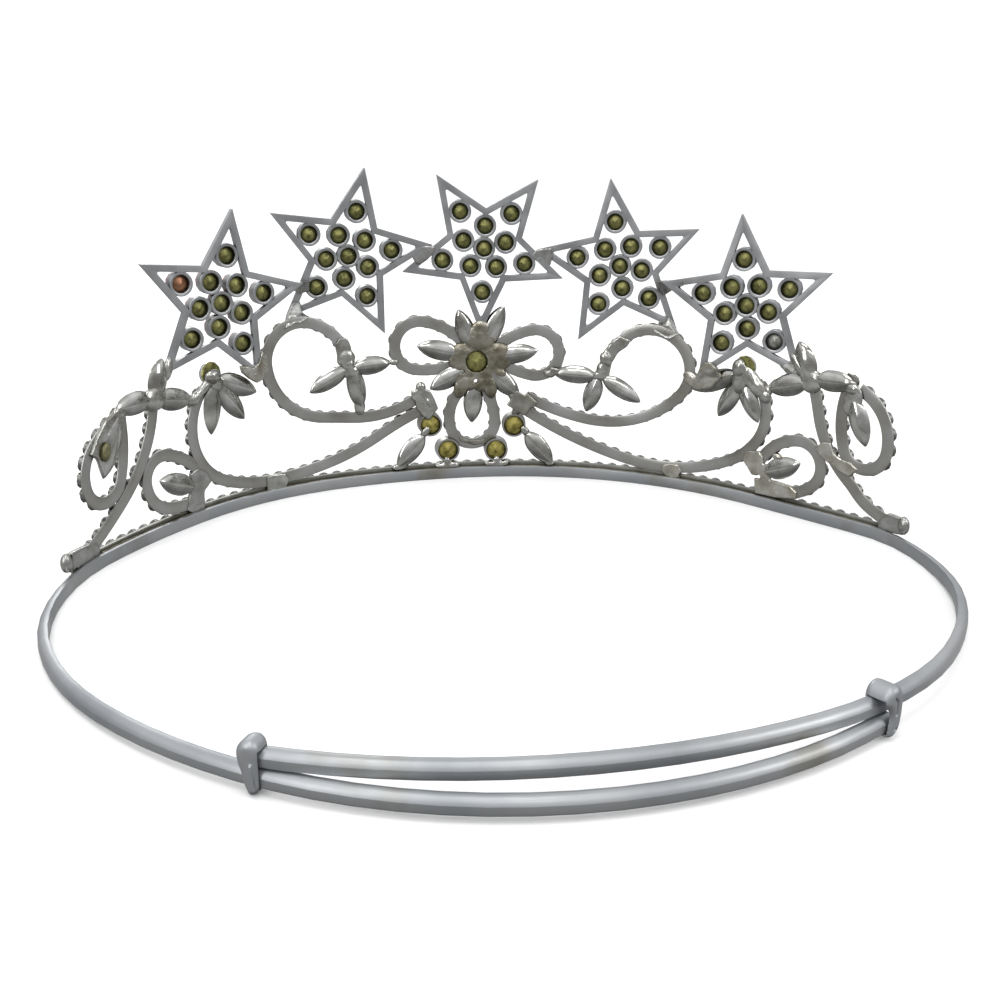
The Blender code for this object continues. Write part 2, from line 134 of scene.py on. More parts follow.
# Lengths by which a strip runs on, straight, into the solder at its start and at its end
RUNS_ON = {
    "left_upper_scroll": (0.6, 0.8), "left_lower_scroll": (0.4, 1.2), "left_end_strip": (3.0, 1.4),
    "left_teardrop": (1.0, 3.4), "left_ring": (1.6, 2.4), "left_flower_loop": (1.6, 1.6),
    "right_flower_loop": (1.6, 1.6), "lower_flower_loop": (2.2, 2.2), "right_upper_scroll": (0.6, 3.2),
    "right_lower_scroll": (0.4, 1.2), "right_end_strip": (2.6, 1.4), "right_teardrop": (3.0, 1.0),
    "right_ring": (1.6, 1.6),
}

# (name, centre u and v, turn, heading off the band's, lean, depth of its back) of the five stars
STARS = [
    ("star_red", (53.0, 41.1), 10.7, -9.8, -0.5, 0.0),
    ("star_green", (25.4, 47.9), 12.2, -5.0, -1.5, 1.4),
    ("star_white", (-2.1, 48.9), 182.6, -2.6, -0.6, 0.0),
    ("star_yellow", (-29.7, 45.6), -8.2, 6.9, 0.0, 1.4),
    ("star_blue", (-56.9, 39.9), -6.3, 15.9, -0.9, 0.0),
]

FLOWER_AT = (-0.5, 25.5)
LEAF_MIDDLE = 0.8
LEAF_THICK = 2.2

# (name of the piece, CAD node it stands for, leaves as base, tip and width)
LEAVES = [
    ("centre_flower_leaves", "centre_flower",
     [((0.4, 28.3), (3.3, 36.5), 4), ((-1.8, 28), (-6.2, 37.2), 4.3), ((3, 27), (12, 29.2), 4.3),
      ((-4.4, 26.3), (-13.4, 27.7), 4.3), ((1.8, 24), (9.4, 19.8), 4.3), ((-3.1, 23.9), (-9.6, 17.6), 4.3),
      ((0, 21), (0.5, 12.1), 4.2)]),
    ("left_scroll_leaves", "left_scroll_spray",
     [((26.8, 25.4), (34.9, 21.1), 3.9), ((25.7, 25.4), (24.1, 16.5), 4), ((25.6, 25.4), (17.5, 26), 4)]),
    ("right_scroll_leaves", "right_scroll_spray",
     [((-27.2, 22.4), (-35.3, 17.7), 3.8), ((-26.2, 22.4), (-23.8, 14.8), 3.9),
      ((-25.6, 22.6), (-16.6, 23), 4)]),
    ("left_side_leaves", "left_side_spray",
     [((54.9, 27), (46.3, 22.9), 4.3), ((56, 26.2), (57.3, 16.4), 4.3), ((55.2, 26), (49.4, 18), 4.1)]),
    ("right_side_leaves", "right_side_spray",
     [((-55.6, 26.3), (-46.2, 21.7), 4.2), ((-56.4, 24.6), (-52.2, 16.9), 3.9),
      ((-56.9, 24.8), (-61.2, 17.1), 4.1)]),
    ("left_end_leaves", "left_end_spray",
     [((70.3, 26), (67.6, 33.1), 4.7), ((69.9, 26), (61, 24.1), 4.4), ((70.8, 26.3), (80.2, 26.4), 4.3)]),
    ("right_end_leaves", "right_end_spray",
     [((-71.9, 27.4), (-68.7, 34.5), 4.6), ((-71.2, 27), (-62.6, 24.3), 4.5),
      ((-72.8, 27.8), (-81.2, 28.3), 4.2)]),
    ("left_foot_leaf_plate", "left_foot_leaf", [((10.9, 9.9), (16.7, 3), 4.3)]),
    ("right_foot_leaf_plate", "right_foot_leaf", [((-11.2, 9.7), (-16.8, 2.8), 4.3)]),
    ("left_teardrop_leaf_plate", "left_teardrop_leaf", [((79.6, 25.2), (84.6, 15.1), 5.2)]),
    ("right_teardrop_leaf_plate", "right_teardrop_leaf", [((-81, 25.4), (-84.4, 16.9), 4.2)]),
    ("left_ring_leaf_plate", "left_ring_leaf", [((62.6, 7.3), (70.9, 10.8), 4.4)]),
    ("right_ring_leaf_plate", "right_ring_leaf", [((-63.7, 7.4), (-71.3, 10.9), 4.4)]),
]

# (name, centre) of the single cups under the flower, then their sizes
ROUND_CUPS = [
    ("left_outer_round_cup", (9.4, 12.1)),
    ("left_inner_round_cup", (5.7, 6.3)),
    ("right_inner_round_cup", (-4.7, 6.0)),
    ("right_outer_round_cup", (-8.5, 11.4)),
]
ROUND_CUP_SIZE = (2.62, 0.35, 3.15)
ROUND_CUP_HOLE = 2.24
ROUND_STONE_RADIUS = 2.22
ROUND_STONE_DEPTHS = (0.2, 1.0, 2.2, 2.45, 3.1)
ROUND_CLAW_HEIGHT = 0.35

# (name, centre, the cup's radius, back and front, its stone's radius, depths and shoulder)
SPRAY_CUPS = [
    ("centre_flower_cup", FLOWER_AT, (2.85, 0.3, 3.35), (2.6, (-0.2, 0.6, 2.4, 2.65, 3.3), 0.96)),
    ("left_side_cup", (56.3, 28.2), (2.1, 0.8, 2.0), (2.3, (0.15, 0.5, 0.85, 1.0, 1.95), 0.93)),
    ("right_side_cup", (-57.3, 27.8), (2.1, 0.8, 2.0), (2.3, (0.15, 0.5, 0.85, 1.0, 1.95), 0.93)),
]
SPRAY_CUP_WALL = 0.22

# Collars folded round both strips: name, length along the left strip, length along the right strip, width of
# the slot across them, side outline as (along the strips, height), creases as (start, end) in the outer face
COLLARS = [
    ("left_collar", 174.6, -247.3, 2.2,
     [(-1.9, 4.7), (-2, 5.5), (-1.8, 6.3), (-1.2, 7), (-0.4, 7.3), (0.3, 7.2), (0.9, 6.6), (1.1, 5.7),
      (1, 4.3), (1, 2.4), (1.1, 1.3), (0.8, 0.8), (0.4, 0.25), (-0.3, -0.05), (-0.7, 0.35), (-1.1, 1.3),
      (-1.3, 2), (-1.4, 3), (-1.8, 4)],
     [((-0.2, 6.3), (0.25, 4.4)), ((0.25, 4.4), (0.55, 1.2))]),
    ("right_collar", 255.8, -168.2, 2.8,
     [(-1.75, 5.8), (-1.45, 6.7), (-0.95, 7.35), (-0.2, 7.7), (0.4, 7.7), (1, 7.4), (1.5, 7.1), (1.8, 6.1),
      (2.05, 4.6), (1.95, 3.2), (1.85, 2), (1.5, 1.2), (0.95, 0.65), (0.25, 0.35), (-0.3, 0.4), (-0.8, 0.7),
      (-0.75, 2), (-0.5, 3.2), (-0.85, 4.3), (-1.6, 5.2)],
     [((-0.35, 6.3), (0.3, 5.6)), ((0.3, 5.6), (0.35, 3.7))]),
]
COLLAR_WALL = 0.6
COLLAR_EDGE = 1.0
COLLAR_GRAIN = 0.11
SLOT_MIDDLE = 3.4
SLOT_HEIGHT = 5.0
SLOT_REACH = 12
CREASE_WIDTH = 0.3
CREASE_DEPTH = 0.7
PIN_HOLE = (0.5, 1.6)
PIN_RADIUS = 0.3
PIN_DEPTH = 0.4

# Solder: for each joint its metal and its round dabs, each as (u, v, w, half length, half width, half depth)
# and, where it is turned, its turn in degrees
SOLDER = {
    "flower_solder": ("browned", [(-1.2, 25.2, 0.7, 5.6, 4.4, 0.95), (2.6, 26.2, 0.65, 2.9, 3.3, 0.9),
        (-5.2, 26.4, 0.65, 3.1, 3, 0.9), (-1.2, 30.4, 0.5, 3.3, 3, 0.95), (-0.3, 20.8, 0.6, 3.8, 2, 0.85),
        (2.9, 20.2, 0.5, 1.5, 2.7, 0.8, 8), (-3.4, 20, 0.5, 1.5, 2.7, 0.8, -8),
        (-1.4, 32.6, 0.4, 2, 1.6, 0.8), (3.3, 22.6, 0.6, 1.7, 1.3, 0.8, -30),
        (-5.2, 22.9, 0.6, 1.9, 1.3, 0.8, 35)]),
    "left_tie_solder": ("bright", [(11.3, 20.4, 0.9, 1.1, 1.1, 0.9), (9.9, 13.9, 0.8, 0.9, 0.9, 0.6),
        (10, 17.2, 0.3, 1.8, 0.35, 0.35, 58), (11.2, 17.6, 0.3, 1.5, 0.3, 0.3, 58)]),
    "right_tie_solder": ("dull", [(-8.4, 17.9, 0.8, 1.2, 1, 0.7), (-8.9, 14.4, 0.8, 0.9, 1, 0.6)]),
    "left_foot_solder": ("bright", [(5.9, 3.5, 1.2, 1, 1.3, 0.9), (5.7, 2.7, 1.15, 2.9, 0.85, 0.95),
        (4.2, 2.9, 1.15, 1.2, 0.8, 0.95, 30), (16, 3.2, 1.2, 1.9, 0.9, 0.8, -10),
        (10.5, 10.5, 0.8, 0.9, 1.5, 0.65, 35)]),
    "right_foot_solder": ("bright", [(-4.9, 3.3, 1.2, 1, 1.3, 0.9), (-4.9, 2.7, 1.15, 2.9, 0.85, 0.95),
        (-6.6, 2.8, 1.15, 1.1, 0.8, 0.95, -30), (-16.2, 3, 1.2, 1.3, 0.8, 0.8, 10),
        (-10.9, 10.1, 0.8, 0.9, 1.4, 0.65, -35)]),
    "lower_loop_seam": ("dull", []),
    "left_scroll_end_solder": ("bright", [(26.9, 27.4, 0.95, 2, 2, 0.95), (26.5, 26, 0.75, 1.5, 1.6, 0.95),
        (26, 24.7, 0.85, 1.9, 1.7, 1), (16.9, 26, 0.9, 1.1, 0.7, 0.6), (24.4, 17.2, 0.9, 1.2, 2, 0.7)]),
    "right_scroll_end_solder": ("bright", [(-27.6, 26.4, 0.6, 1.25, 1.7, 0.9, -20),
        (-27, 24.2, 0.7, 1.3, 1.7, 0.9), (-26.5, 22.8, 0.8, 1.7, 1.2, 0.95),
        (-15.9, 22.8, 0.7, 1.3, 0.9, 0.8, 10)]),
    "left_side_solder": ("bright", [(56.6, 27.9, -0.1, 1.8, 1.4, 1.2), (58.4, 26, 0.35, 2.9, 0.9, 0.8, -40),
        (60.6, 24.2, 0.6, 1.6, 1.15, 0.75, -40), (55.4, 26, 0.6, 1.6, 1.7, 0.9)]),
    "left_star_tip_solder": ("brassy", []),
    "right_side_solder": ("bright", [(-56.5, 27.6, 0, 1.5, 1.9, 1.1), (-56.6, 25, 0.4, 1.8, 2.8, 1),
        (-59.7, 25.2, 0.4, 4.1, 1.7, 0.85, 44), (-62.3, 22.8, 0.6, 1.6, 1.4, 0.75, 44)]),
    "right_star_tip_solder": ("brassy", [(-45.9, 23.6, 1, 2.3, 1.4, 0.45, 37)]),
    "left_end_solder": ("bright", [(70.4, 26.2, 0.6, 2.8, 2.3, 1), (66.6, 30.9, 0.6, 1.1, 2.3, 0.7, 20),
        (79, 25.6, 0.8, 1.7, 1.4, 0.7, -20), (61.6, 24, 0.8, 1.4, 1.1, 0.7),
        (80.4, 23.4, 0.8, 3.2, 2, 0.42, -62)]),
    "right_end_solder": ("bright", [(-71.9, 27.3, 0.85, 2.5, 2.4, 0.95), (-69.2, 29.8, 0.6, 3, 1, 0.7, 47),
        (-80.6, 27.2, 0.7, 1.5, 1.2, 0.8), (-62.6, 23.9, 0.8, 1.3, 1.2, 0.7),
        (-80.9, 25, 0.7, 1.9, 3, 0.45, 14)]),
    "left_ring_solder": ("smooth", [(61.9, 3.2, 1.1, 2.2, 0.9, 0.6)]),
    "right_ring_solder": ("brassy", [(-65.8, 10.9, 1.4, 1.5, 0.8, 0.7, 20)]),
    "left_block_solder": ("bright", [(42.9, 2.5, 1.1, 1.7, 0.8, 0.5)]),
    "right_block_solder": ("brassy", [(-43, 2.5, 1.1, 1.7, 0.8, 0.5)]),
    "left_end_cup": ("smooth", [(96.9, 4.4, 1.3, 1, 1.7, 1, 10)]),
    "right_end_cup": ("smooth", [(-94, 4.4, 1.3, 0.95, 1.7, 1, -10)]),
    "star_solder": ("smooth", []),
}

# Its flat pads, given in the same way
SOLDER_PADS = {
    "right_tie_solder": [(-9.9, 16.3, 0.55, 2.3, 1.9, 0.42, 33), (-11.8, 16.9, 0.6, 1.6, 0.9, 0.4, 42)],
    "right_scroll_end_solder": [(-17, 23.4, 0.4, 1, 0.7, 0.35, 10)],
}

# Its sheets, run flat between pieces: thickness, depth (or the depth of each corner) and outline
SOLDER_WEBS = {
    "star_solder": [
        (1.7, [2.6, -0.2, -1.8, -1.8, -0.5, 1.8, 2.6],
         [(-37.3, 42.9), (-40.2, 43.5), (-44.1, 44), (-44, 42.9), (-41, 41.5), (-38.9, 40.1),
          (-37.6, 40.9)]),
        (1.2, [4, 3.8, 4, 3.4, 2.2, 1.3, 1.2, 1.2, 1.4, 2.6],
         [(-37.5, 35.1), (-38.6, 34.8), (-39.6, 35.9), (-40.4, 34.9), (-41.6, 33.5), (-42.6, 32.5),
          (-40.6, 31.4), (-37.5, 32.7), (-37.1, 33.7), (-37.8, 34.2)]),
        (1.4, [0.1, 0.5, 3.2, 3.2, 2.4, 0.3],
         [(38.8, 44.1), (37.1, 43.4), (33.1, 43.4), (33.2, 41.2), (35.4, 41.1), (38.1, 42.5)]),
        (1.2, [3.9, 3.9, 2.8, 1.2, 1.1, 1.1, 1.1, 1.8],
         [(36, 39.6), (34.9, 39.3), (34.9, 37.3), (34.1, 36.5), (35.4, 35.6), (37.7, 35.4), (39.5, 34.4),
          (38.4, 36.9)]),
        (1.1, [1.75, 1.75, 1.6, 1.3, 1.3, 1.7, 1.9, 1.95, 1.75],
         [(12.7, 48.3), (11, 49.4), (9.4, 49.6), (7.8, 49.4), (8, 48.3), (9.4, 46.7), (10.2, 46.1),
          (11.4, 45.7), (12.4, 47.1)]),
        (1.1, [0.85, 0.75, 1, 1.35, 1.35, 1.35, 1.2, 0.95],
         [(-11.8, 47.1), (-12.6, 48.6), (-14.1, 48.9), (-15.9, 49), (-16, 47.1), (-15.7, 45.5),
          (-14.6, 45.2), (-13.1, 46.1)])],
    "left_tie_solder": [
        (1.3, 0.85, [(13.3, 19.6), (11.3, 20.2), (9.4, 19.6), (8.4, 17.6), (7.7, 15.6), (9.1, 13.9),
         (10.9, 13.9), (12.3, 15.7), (12.6, 17.3), (13.3, 17.9)])],
    "left_scroll_end_solder": [
        (0.9, 0.95, [(28.9, 30.8), (28.2, 31.8), (26.5, 31.6), (25.9, 30.2), (25.5, 28.1), (27.1, 26.7),
         (28.7, 27.9), (28.9, 29.4)])],
    "right_scroll_end_solder": [
        (0.9, [1, 1, 1, 1, 1, 0.9, 0.9, 1, 1, 1],
         [(-30.2, 31.5), (-32.7, 30.6), (-31.9, 29.2), (-30.1, 27.8), (-28.9, 25.6), (-28.4, 22.6),
          (-26.3, 22.4), (-26.4, 25.6), (-27.2, 28.2), (-28.8, 30.2)])],
    "left_star_tip_solder": [
        (1.2, [-0.5, -0.6, -0.6, -0.6, -0.4, 0, 0.2, 0.1, -0.4, -0.6, -0.5, -0.4],
         [(50.4, 28.9), (48.7, 28.6), (47.6, 28.1), (46.2, 29.1), (45.4, 31.1), (44.3, 30.1), (43.6, 27.4),
          (44.5, 26), (45.8, 25.5), (47.1, 25.1), (48.6, 26.1), (50, 27.4)])],
    "left_block_solder": [
        (0.9, 1.05, [(45.3, 5.1), (43.9, 5.4), (41, 5), (40.2, 4), (41, 2), (43.3, 1.7), (45.3, 2)])],
    "right_block_solder": [
        (0.8, 1.05, [(-40.6, 4.7), (-42.2, 5.2), (-44, 5.2), (-44.9, 3.9), (-44.1, 2.4), (-41.5, 2.2),
         (-40.5, 3.4)])],
    "right_star_tip_solder": [
        (1.1, [-1.4, -1.4, -1.2, -0.2, -0.2, -0.2, -0.2, -0.7, -1.3],
         [(-49.6, 28.1), (-50.8, 28.3), (-52.3, 27.2), (-53, 25.1), (-50.9, 22.8), (-48.3, 22), (-46.8, 22),
          (-47.3, 24.3), (-48.5, 26.8)])],
    "right_end_solder": [
        (1.3, [3.8, 3.8, 3.2, 2, 1.3, 0.9, 1.3, 2.8],
         [(-63, 29), (-64.9, 29.7), (-67.1, 29.1), (-69.3, 28.7), (-70.7, 27.6), (-70.2, 26.4),
          (-68.6, 26.7), (-65.7, 27.4)])],
    "left_end_solder": [
        (0.9, 0.7, [(80.3, 26), (82.9, 25), (85.3, 22.8), (87.3, 20.2), (85.7, 18.9), (84.7, 15.4),
         (82.9, 17), (80.5, 18.1), (79.3, 22.6)])],
    "left_ring_solder": [
        (0.9, 1.1, [(63, 10), (61.3, 10.7), (59, 9.5), (58.1, 7.3), (60, 5.7), (60.2, 2.3), (62.6, 1.6),
         (64.7, 3.2), (63.5, 6.1)])],
    "right_ring_solder": [
        (0.8, 1, [(-58.4, 8.8), (-58.5, 10.2), (-59.5, 11), (-62, 11.4), (-63, 10.2), (-63.1, 7.3),
         (-61.9, 6.3), (-60.6, 6.2)]),
        (0.8, 1.05, [(-62.2, 8.7), (-64.3, 9.2), (-65.1, 5.2), (-62.8, 4.7)]),
        (0.9, 1, [(-61.3, 5.7), (-63.4, 5.7), (-66.1, 6.1), (-69.6, 5.8), (-71.2, 4.9), (-70.9, 3.4),
         (-66.2, 2.6), (-61.6, 2.5)]),
        (0.8, 1, [(-73.8, 14.7), (-75.7, 16.1), (-77.2, 16.2), (-78.7, 13.5), (-77.2, 12.2),
         (-75.2, 13.3)]),
        (0.8, 1.1, [(-78.2, 14.2), (-79.9, 13.5), (-81.8, 13.2), (-83.4, 12.2), (-81.7, 10.4), (-79.2, 11),
         (-77.5, 12.2)])],
    "left_end_cup": [
        (1.1, [1.25, 1.25, 1.25, 1.25, 1.2, 1.2, 1.25],
         [(95.4, 5.6), (90.9, 5.1), (87.9, 4.7), (87.1, 2.9), (88.1, 2), (92.5, 2.2), (95.6, 2.5)])],
    "right_end_cup": [
        (1.1, [1.25, 1.25, 1.25, 1.25, 1.2, 1.2],
         [(-88.6, 3.8), (-90.3, 5.6), (-93.3, 5.6), (-94.2, 2.6), (-91.5, 2.1), (-88.6, 2)])],
    "lower_loop_seam": [
        (0.8, 1.05, [(3.4, 9.3), (1.9, 8.4), (0, 8), (-2.1, 8.2), (-3.6, 9.6), (-4.2, 8.9), (-2.8, 7.4),
         (0, 7), (3, 8)])],
}

# (centre, radius) of the holes through the flower's solder, and the depths they are drilled between
FLOWER_HOLES = [(FLOWER_AT, 2.3), ((2.5, 23.4), 0.4), ((-0.3, 21.3), 0.4)]
DRILL = (-1.5, 2.5)
SOLDER_GRAIN = 0.17
SOLDER_UNEVENNESS = 0.14
SEAM_AT = (2.0, 1.0)
SEAM_SIZE = 0.8
SEAM_EDGE = 0.28
SEAM_CUTS = 449
SEAM_UNEVENNESS = 0.3

# Corners narrower than this, in metres, stay dark: tarnish and painted shade
CORNER_REACH = 0.0012


def along(u):
    """Plan position and heading of the band's inner face at length u from its front middle."""
    side = 1 if u >= 0 else -1
    bends = LEFT_BENDS if side > 0 else RIGHT_BENDS
    x, y = FRONT
    heading = 0.0
    left = abs(u)
    for length, radius in bends:
        step = min(left, length)
        turn = step / radius
        x += side * radius * (math.sin(heading + turn) - math.sin(heading))
        y += radius * (math.cos(heading) - math.cos(heading + turn))
        heading += turn
        left -= step
        if left <= 0:
            break
    return x, y, side * heading


def rise(u):
    """How far the band is lifted at length u."""
    start, end, height = LEFT_RISE if u >= 0 else RIGHT_RISE
    t = min(max((abs(u) - start) / (end - start), 0.0), 1.0)
    return height * t * t * (3 - 2 * t)


def seat(u, v, w, turn=0.0, off_tangent=0.0, lean=0.0):
    """Where a flat piece that isn't bent stands, in millimetres."""
    x, y, heading = along(u)
    place = Vector((x + w * math.sin(heading), y - w * math.cos(heading), v))
    upright = Matrix.Rotation(heading + math.radians(off_tangent), 4, "Z") @ Matrix.Rotation(
        math.radians(90 + lean), 4, "X")
    return Matrix.Translation(place) @ upright @ Matrix.Rotation(math.radians(turn), 4, "Z")


def walk(start, heading, bends, step):
    """Points about one step apart along a strip drawn as bends (length, radius)."""
    u, v = start
    direction = math.radians(heading)
    points = [(u, v)]
    for length, radius in bends:
        count = max(1, round(length / step))
        turn = length / count / radius
        for _ in range(count):
            u += radius * (math.sin(direction + turn) - math.sin(direction))
            v += radius * (math.cos(direction) - math.cos(direction + turn))
            direction += turn
            points.append((u, v))
    return points


def drawn_on(points, before, after):
    """The line with a straight length added at each end."""
    (x0, y0), (x1, y1) = points[0], points[1]
    (x8, y8), (x9, y9) = points[-2], points[-1]
    start = before / math.dist(points[0], points[1])
    end = after / math.dist(points[-2], points[-1])
    return [(x0 + start * (x0 - x1), y0 + start * (y0 - y1)), *points,
            (x9 + end * (x9 - x8), y9 + end * (y9 - y8))]


# ---------------------------------------------------------------- the bench

def put_down():
    if bpy.context.mode != "OBJECT":
        bpy.ops.object.mode_set(mode="OBJECT")
    bpy.ops.object.select_all(action="DESELECT")


def take(piece):
    put_down()
    piece.select_set(True)
    bpy.context.view_layer.objects.active = piece
    return piece


def blank(name):
    """The primitive just added, under its name, with its place and size in its mesh."""
    piece = bpy.context.object
    piece.name = name
    piece.data.name = name
    bpy.ops.object.transform_apply(location=True, rotation=True, scale=True)
    return piece


def block(name, place, size, turn=0.0):
    """A block of this size, turned about its upright axis."""
    put_down()
    bpy.ops.mesh.primitive_cube_add(size=1, location=place, rotation=(0, 0, turn), scale=size)
    return blank(name)


def rod(name, sides, radius, low, high, place=(0, 0)):
    """A round rod between two depths."""
    put_down()
    bpy.ops.mesh.primitive_cylinder_add(vertices=sides, radius=radius, depth=high - low,
                                        location=(*place, (high + low) / 2))
    return blank(name)


def work(piece):
    take(piece)
    bpy.ops.object.mode_set(mode="EDIT")


def middle(element):
    corners = element.verts
    return sum((corner.co for corner in corners), Vector()) / len(corners)


def runs_along(edge, least):
    """Whether an edge goes further than this along X."""
    return abs(edge.verts[0].co.x - edge.verts[1].co.x) > least


def faces_up(face):
    return face.normal.z > 0.9


def faces_down(face):
    return face.normal.z < -0.9


def pick(kind, test):
    """Selects only the corners, edges or faces that pass the test, in edit mode."""
    bpy.ops.mesh.select_mode(type=kind)
    bpy.ops.mesh.select_all(action="DESELECT")
    mesh = bpy.context.edit_object.data
    shape = bmesh.from_edit_mesh(mesh)
    for element in {"VERT": shape.verts, "EDGE": shape.edges, "FACE": shape.faces}[kind]:
        if test(element):
            element.select_set(True)
    shape.select_flush_mode()
    bmesh.update_edit_mesh(mesh)


def push(height):
    """Extrudes what is selected, upwards or, below nought, downwards."""
    bpy.ops.mesh.extrude_region_move(TRANSFORM_OT_translate={"value": (0, 0, height)})


def turn_outwards():
    """Turns every face of the mesh to its outside."""
    bpy.ops.mesh.select_all(action="SELECT")
    bpy.ops.mesh.normals_make_consistent(inside=False)


def grow(x, y, z, centre):
    """Resizes what is selected about a point."""
    bpy.ops.transform.resize(value=(x, y, z), center_override=centre)


def round_off(test, offset, segments, **shape):
    """Bevels the edges that pass the test."""
    pick("EDGE", test)
    bpy.ops.mesh.bevel(offset=offset, segments=segments, **shape)


def cut_across(test, cuts):
    """Cuts the edges that pass the test into equal lengths."""
    pick("EDGE", test)
    bpy.ops.mesh.subdivide(number_cuts=cuts)


def bendable_strip(name, place, size, edge, segments, cuts):
    """A strip along X with its long edges rounded, cut across often enough to bend."""
    strip = block(name, place, size)
    work(strip)
    long_edge = lambda side: runs_along(side, size[0] / 2)
    round_off(long_edge, edge, segments)
    cut_across(long_edge, cuts)
    put_down()
    return strip


def worked(piece, kind, **settings):
    """Puts one modifier on the piece and applies it."""
    change = piece.modifiers.new(kind.lower(), kind)
    for key, value in settings.items():
        setattr(change, key, value)
    take(piece)
    bpy.ops.object.modifier_apply(modifier=change.name)
    return piece


def copied(piece, name, place):
    """Another of the same in its own place, with its own mesh."""
    other = piece.copy()
    other.data = piece.data.copy()
    other.name = name
    other.data.name = name
    bpy.context.scene.collection.objects.link(other)
    other.data.transform(place)
    return other


def joined(name, parts):
    put_down()
    for part in parts:
        part.select_set(True)
    bpy.context.view_layer.objects.active = parts[0]
    if len(parts) > 1:
        bpy.ops.object.join()
    parts[0].name = name
    parts[0].data.name = name
    return parts[0]


def guide_line(name, points):
    """A line that a piece is bent along."""
    curve = bpy.data.curves.new(name, "CURVE")
    curve.dimensions = "3D"
    curve.twist_mode = "Z_UP"
    spline = curve.splines.new("POLY")
    spline.points.add(len(points) - 1)
    for corner, point in zip(spline.points, points):
        corner.co = (*point, 1) if len(point) == 3 else (*point, 0, 1)
    guide = bpy.data.objects.new(name, curve)
    bpy.context.scene.collection.objects.link(guide)
    return guide


def onto_band(piece):
    """Stands a piece of the flat layout up, bends it round the band and brings it to metres."""
    piece.data.transform(Matrix.Translation((-LINE_START, 0, 0)) @ Matrix.Rotation(math.radians(90), 4, "X"))
    worked(piece, "CURVE", object=band_line, deform_axis="POS_X")
    piece.data.transform(TO_METRES)
    return piece


def finish_piece(piece, material, stands_for=None, smooth=35):
    """Gives a piece its finish and sets it on the crown."""
    if material is not None:
        piece.data.materials.clear()
        piece.data.materials.append(material)
    take(piece)
    if smooth:
        bpy.ops.object.shade_smooth_by_angle(angle=math.radians(smooth))
    else:
        bpy.ops.object.shade_flat()
    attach(piece, "root")
    if stands_for:
        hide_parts(stands_for)
    return piece


# ---------------------------------------------------------------- finishes

def finish_nodes(name):
    material = bpy.data.materials.new(name)
    material.use_nodes = True
    tree = material.node_tree
    return material, tree, tree.nodes["Principled BSDF"]


def link(tree, source, target):
    tree.links.new(source, target)


def noise(tree, scale, detail):
    """A noise on the piece's own coordinates, in metres; returns its number."""
    place = tree.nodes.new("ShaderNodeTexCoord")
    grain = tree.nodes.new("ShaderNodeTexNoise")
    grain.inputs["Scale"].default_value = scale
    grain.inputs["Detail"].default_value = detail
    link(tree, place.outputs["Object"], grain.inputs["Vector"])
    return grain.outputs["Fac"]


def ramp(tree, number, stops):
    """Colours for a number, as (position, colour)."""
    node = tree.nodes.new("ShaderNodeValToRGB")
    steps = node.color_ramp.elements
    while len(steps) < len(stops):
        steps.new(0.5)
    for step, (position, colour) in zip(steps, stops):
        step.position = position
        step.color = (*colour, 1)
    link(tree, number, node.inputs["Fac"])
    return node.outputs["Color"]


def blended(tree, how, share, first, second):
    node = tree.nodes.new("ShaderNodeMix")
    node.data_type = "RGBA"
    node.blend_type = how
    if isinstance(share, float):
        node.inputs["Factor"].default_value = share
    else:
        link(tree, share, node.inputs["Factor"])
    link(tree, first, node.inputs["A"])
    if isinstance(second, tuple):
        node.inputs["B"].default_value = (*second, 1)
    else:
        link(tree, second, node.inputs["B"])
    return node.outputs["Result"]


def spread(tree, number, low, high, start=0.3, end=0.7):
    """The number brought between two values."""
    node = tree.nodes.new("ShaderNodeMapRange")
    node.inputs["From Min"].default_value = start
    node.inputs["From Max"].default_value = end
    node.inputs["To Min"].default_value = low
    node.inputs["To Max"].default_value = high
    link(tree, number, node.inputs["Value"])
    return node.outputs["Result"]


def relief(tree, shader, number, strength, distance):
    node = tree.nodes.new("ShaderNodeBump")
    node.inputs["Strength"].default_value = strength
    node.inputs["Distance"].default_value = distance
    link(tree, number, node.inputs["Height"])
    link(tree, node.outputs["Normal"], shader.inputs["Normal"])


def tarnish_and_painted_shade(tree, colour, dark, reach=CORNER_REACH):
    """Darkens the metal's colour in its corners, by how closed in they are: partly tarnish where polishing
    doesn't reach, partly painted shade.
    """
    # painted shade: the colour is darkened where the corner mask finds the surface closed in, on top of the
    # tarnish
    corners = tree.nodes.new("ShaderNodeAmbientOcclusion")
    corners.samples = 4
    corners.inputs["Distance"].default_value = reach
    share = spread(tree, corners.outputs["AO"], 1.0, 0.0, 0.25, 0.85)
    return blended(tree, "MIX", share, colour, dark)


def dress(tree, shader, colour, rough, metallic=1.0):
    """Gives a finish its colour, its roughness and its share of metal."""
    link(tree, colour, shader.inputs["Base Color"])
    link(tree, rough, shader.inputs["Roughness"])
    shader.inputs["Metallic"].default_value = metallic


def drawn_band_metal():
    """Springy strip, drawn to a D section: cloudy where it has been handled, a few dull brown stains."""
    material, tree, shader = finish_nodes("drawn_band_metal")
    clouds = noise(tree, 45.0, 4.0)
    stains = noise(tree, 60.0, 5.0)
    bare = ramp(tree, clouds, [(0.35, (0.39, 0.41, 0.43)), (0.65, (0.54, 0.555, 0.565))])
    dull = ramp(tree, stains, [(0.56, (1, 1, 1)), (0.72, (0.72, 0.67, 0.56))])
    dress(tree, shader, blended(tree, "MULTIPLY", 1.0, bare, dull), spread(tree, clouds, 0.56, 0.42))
    relief(tree, shader, noise(tree, 1900.0, 3.0), 0.08, 0.00004)
    return material


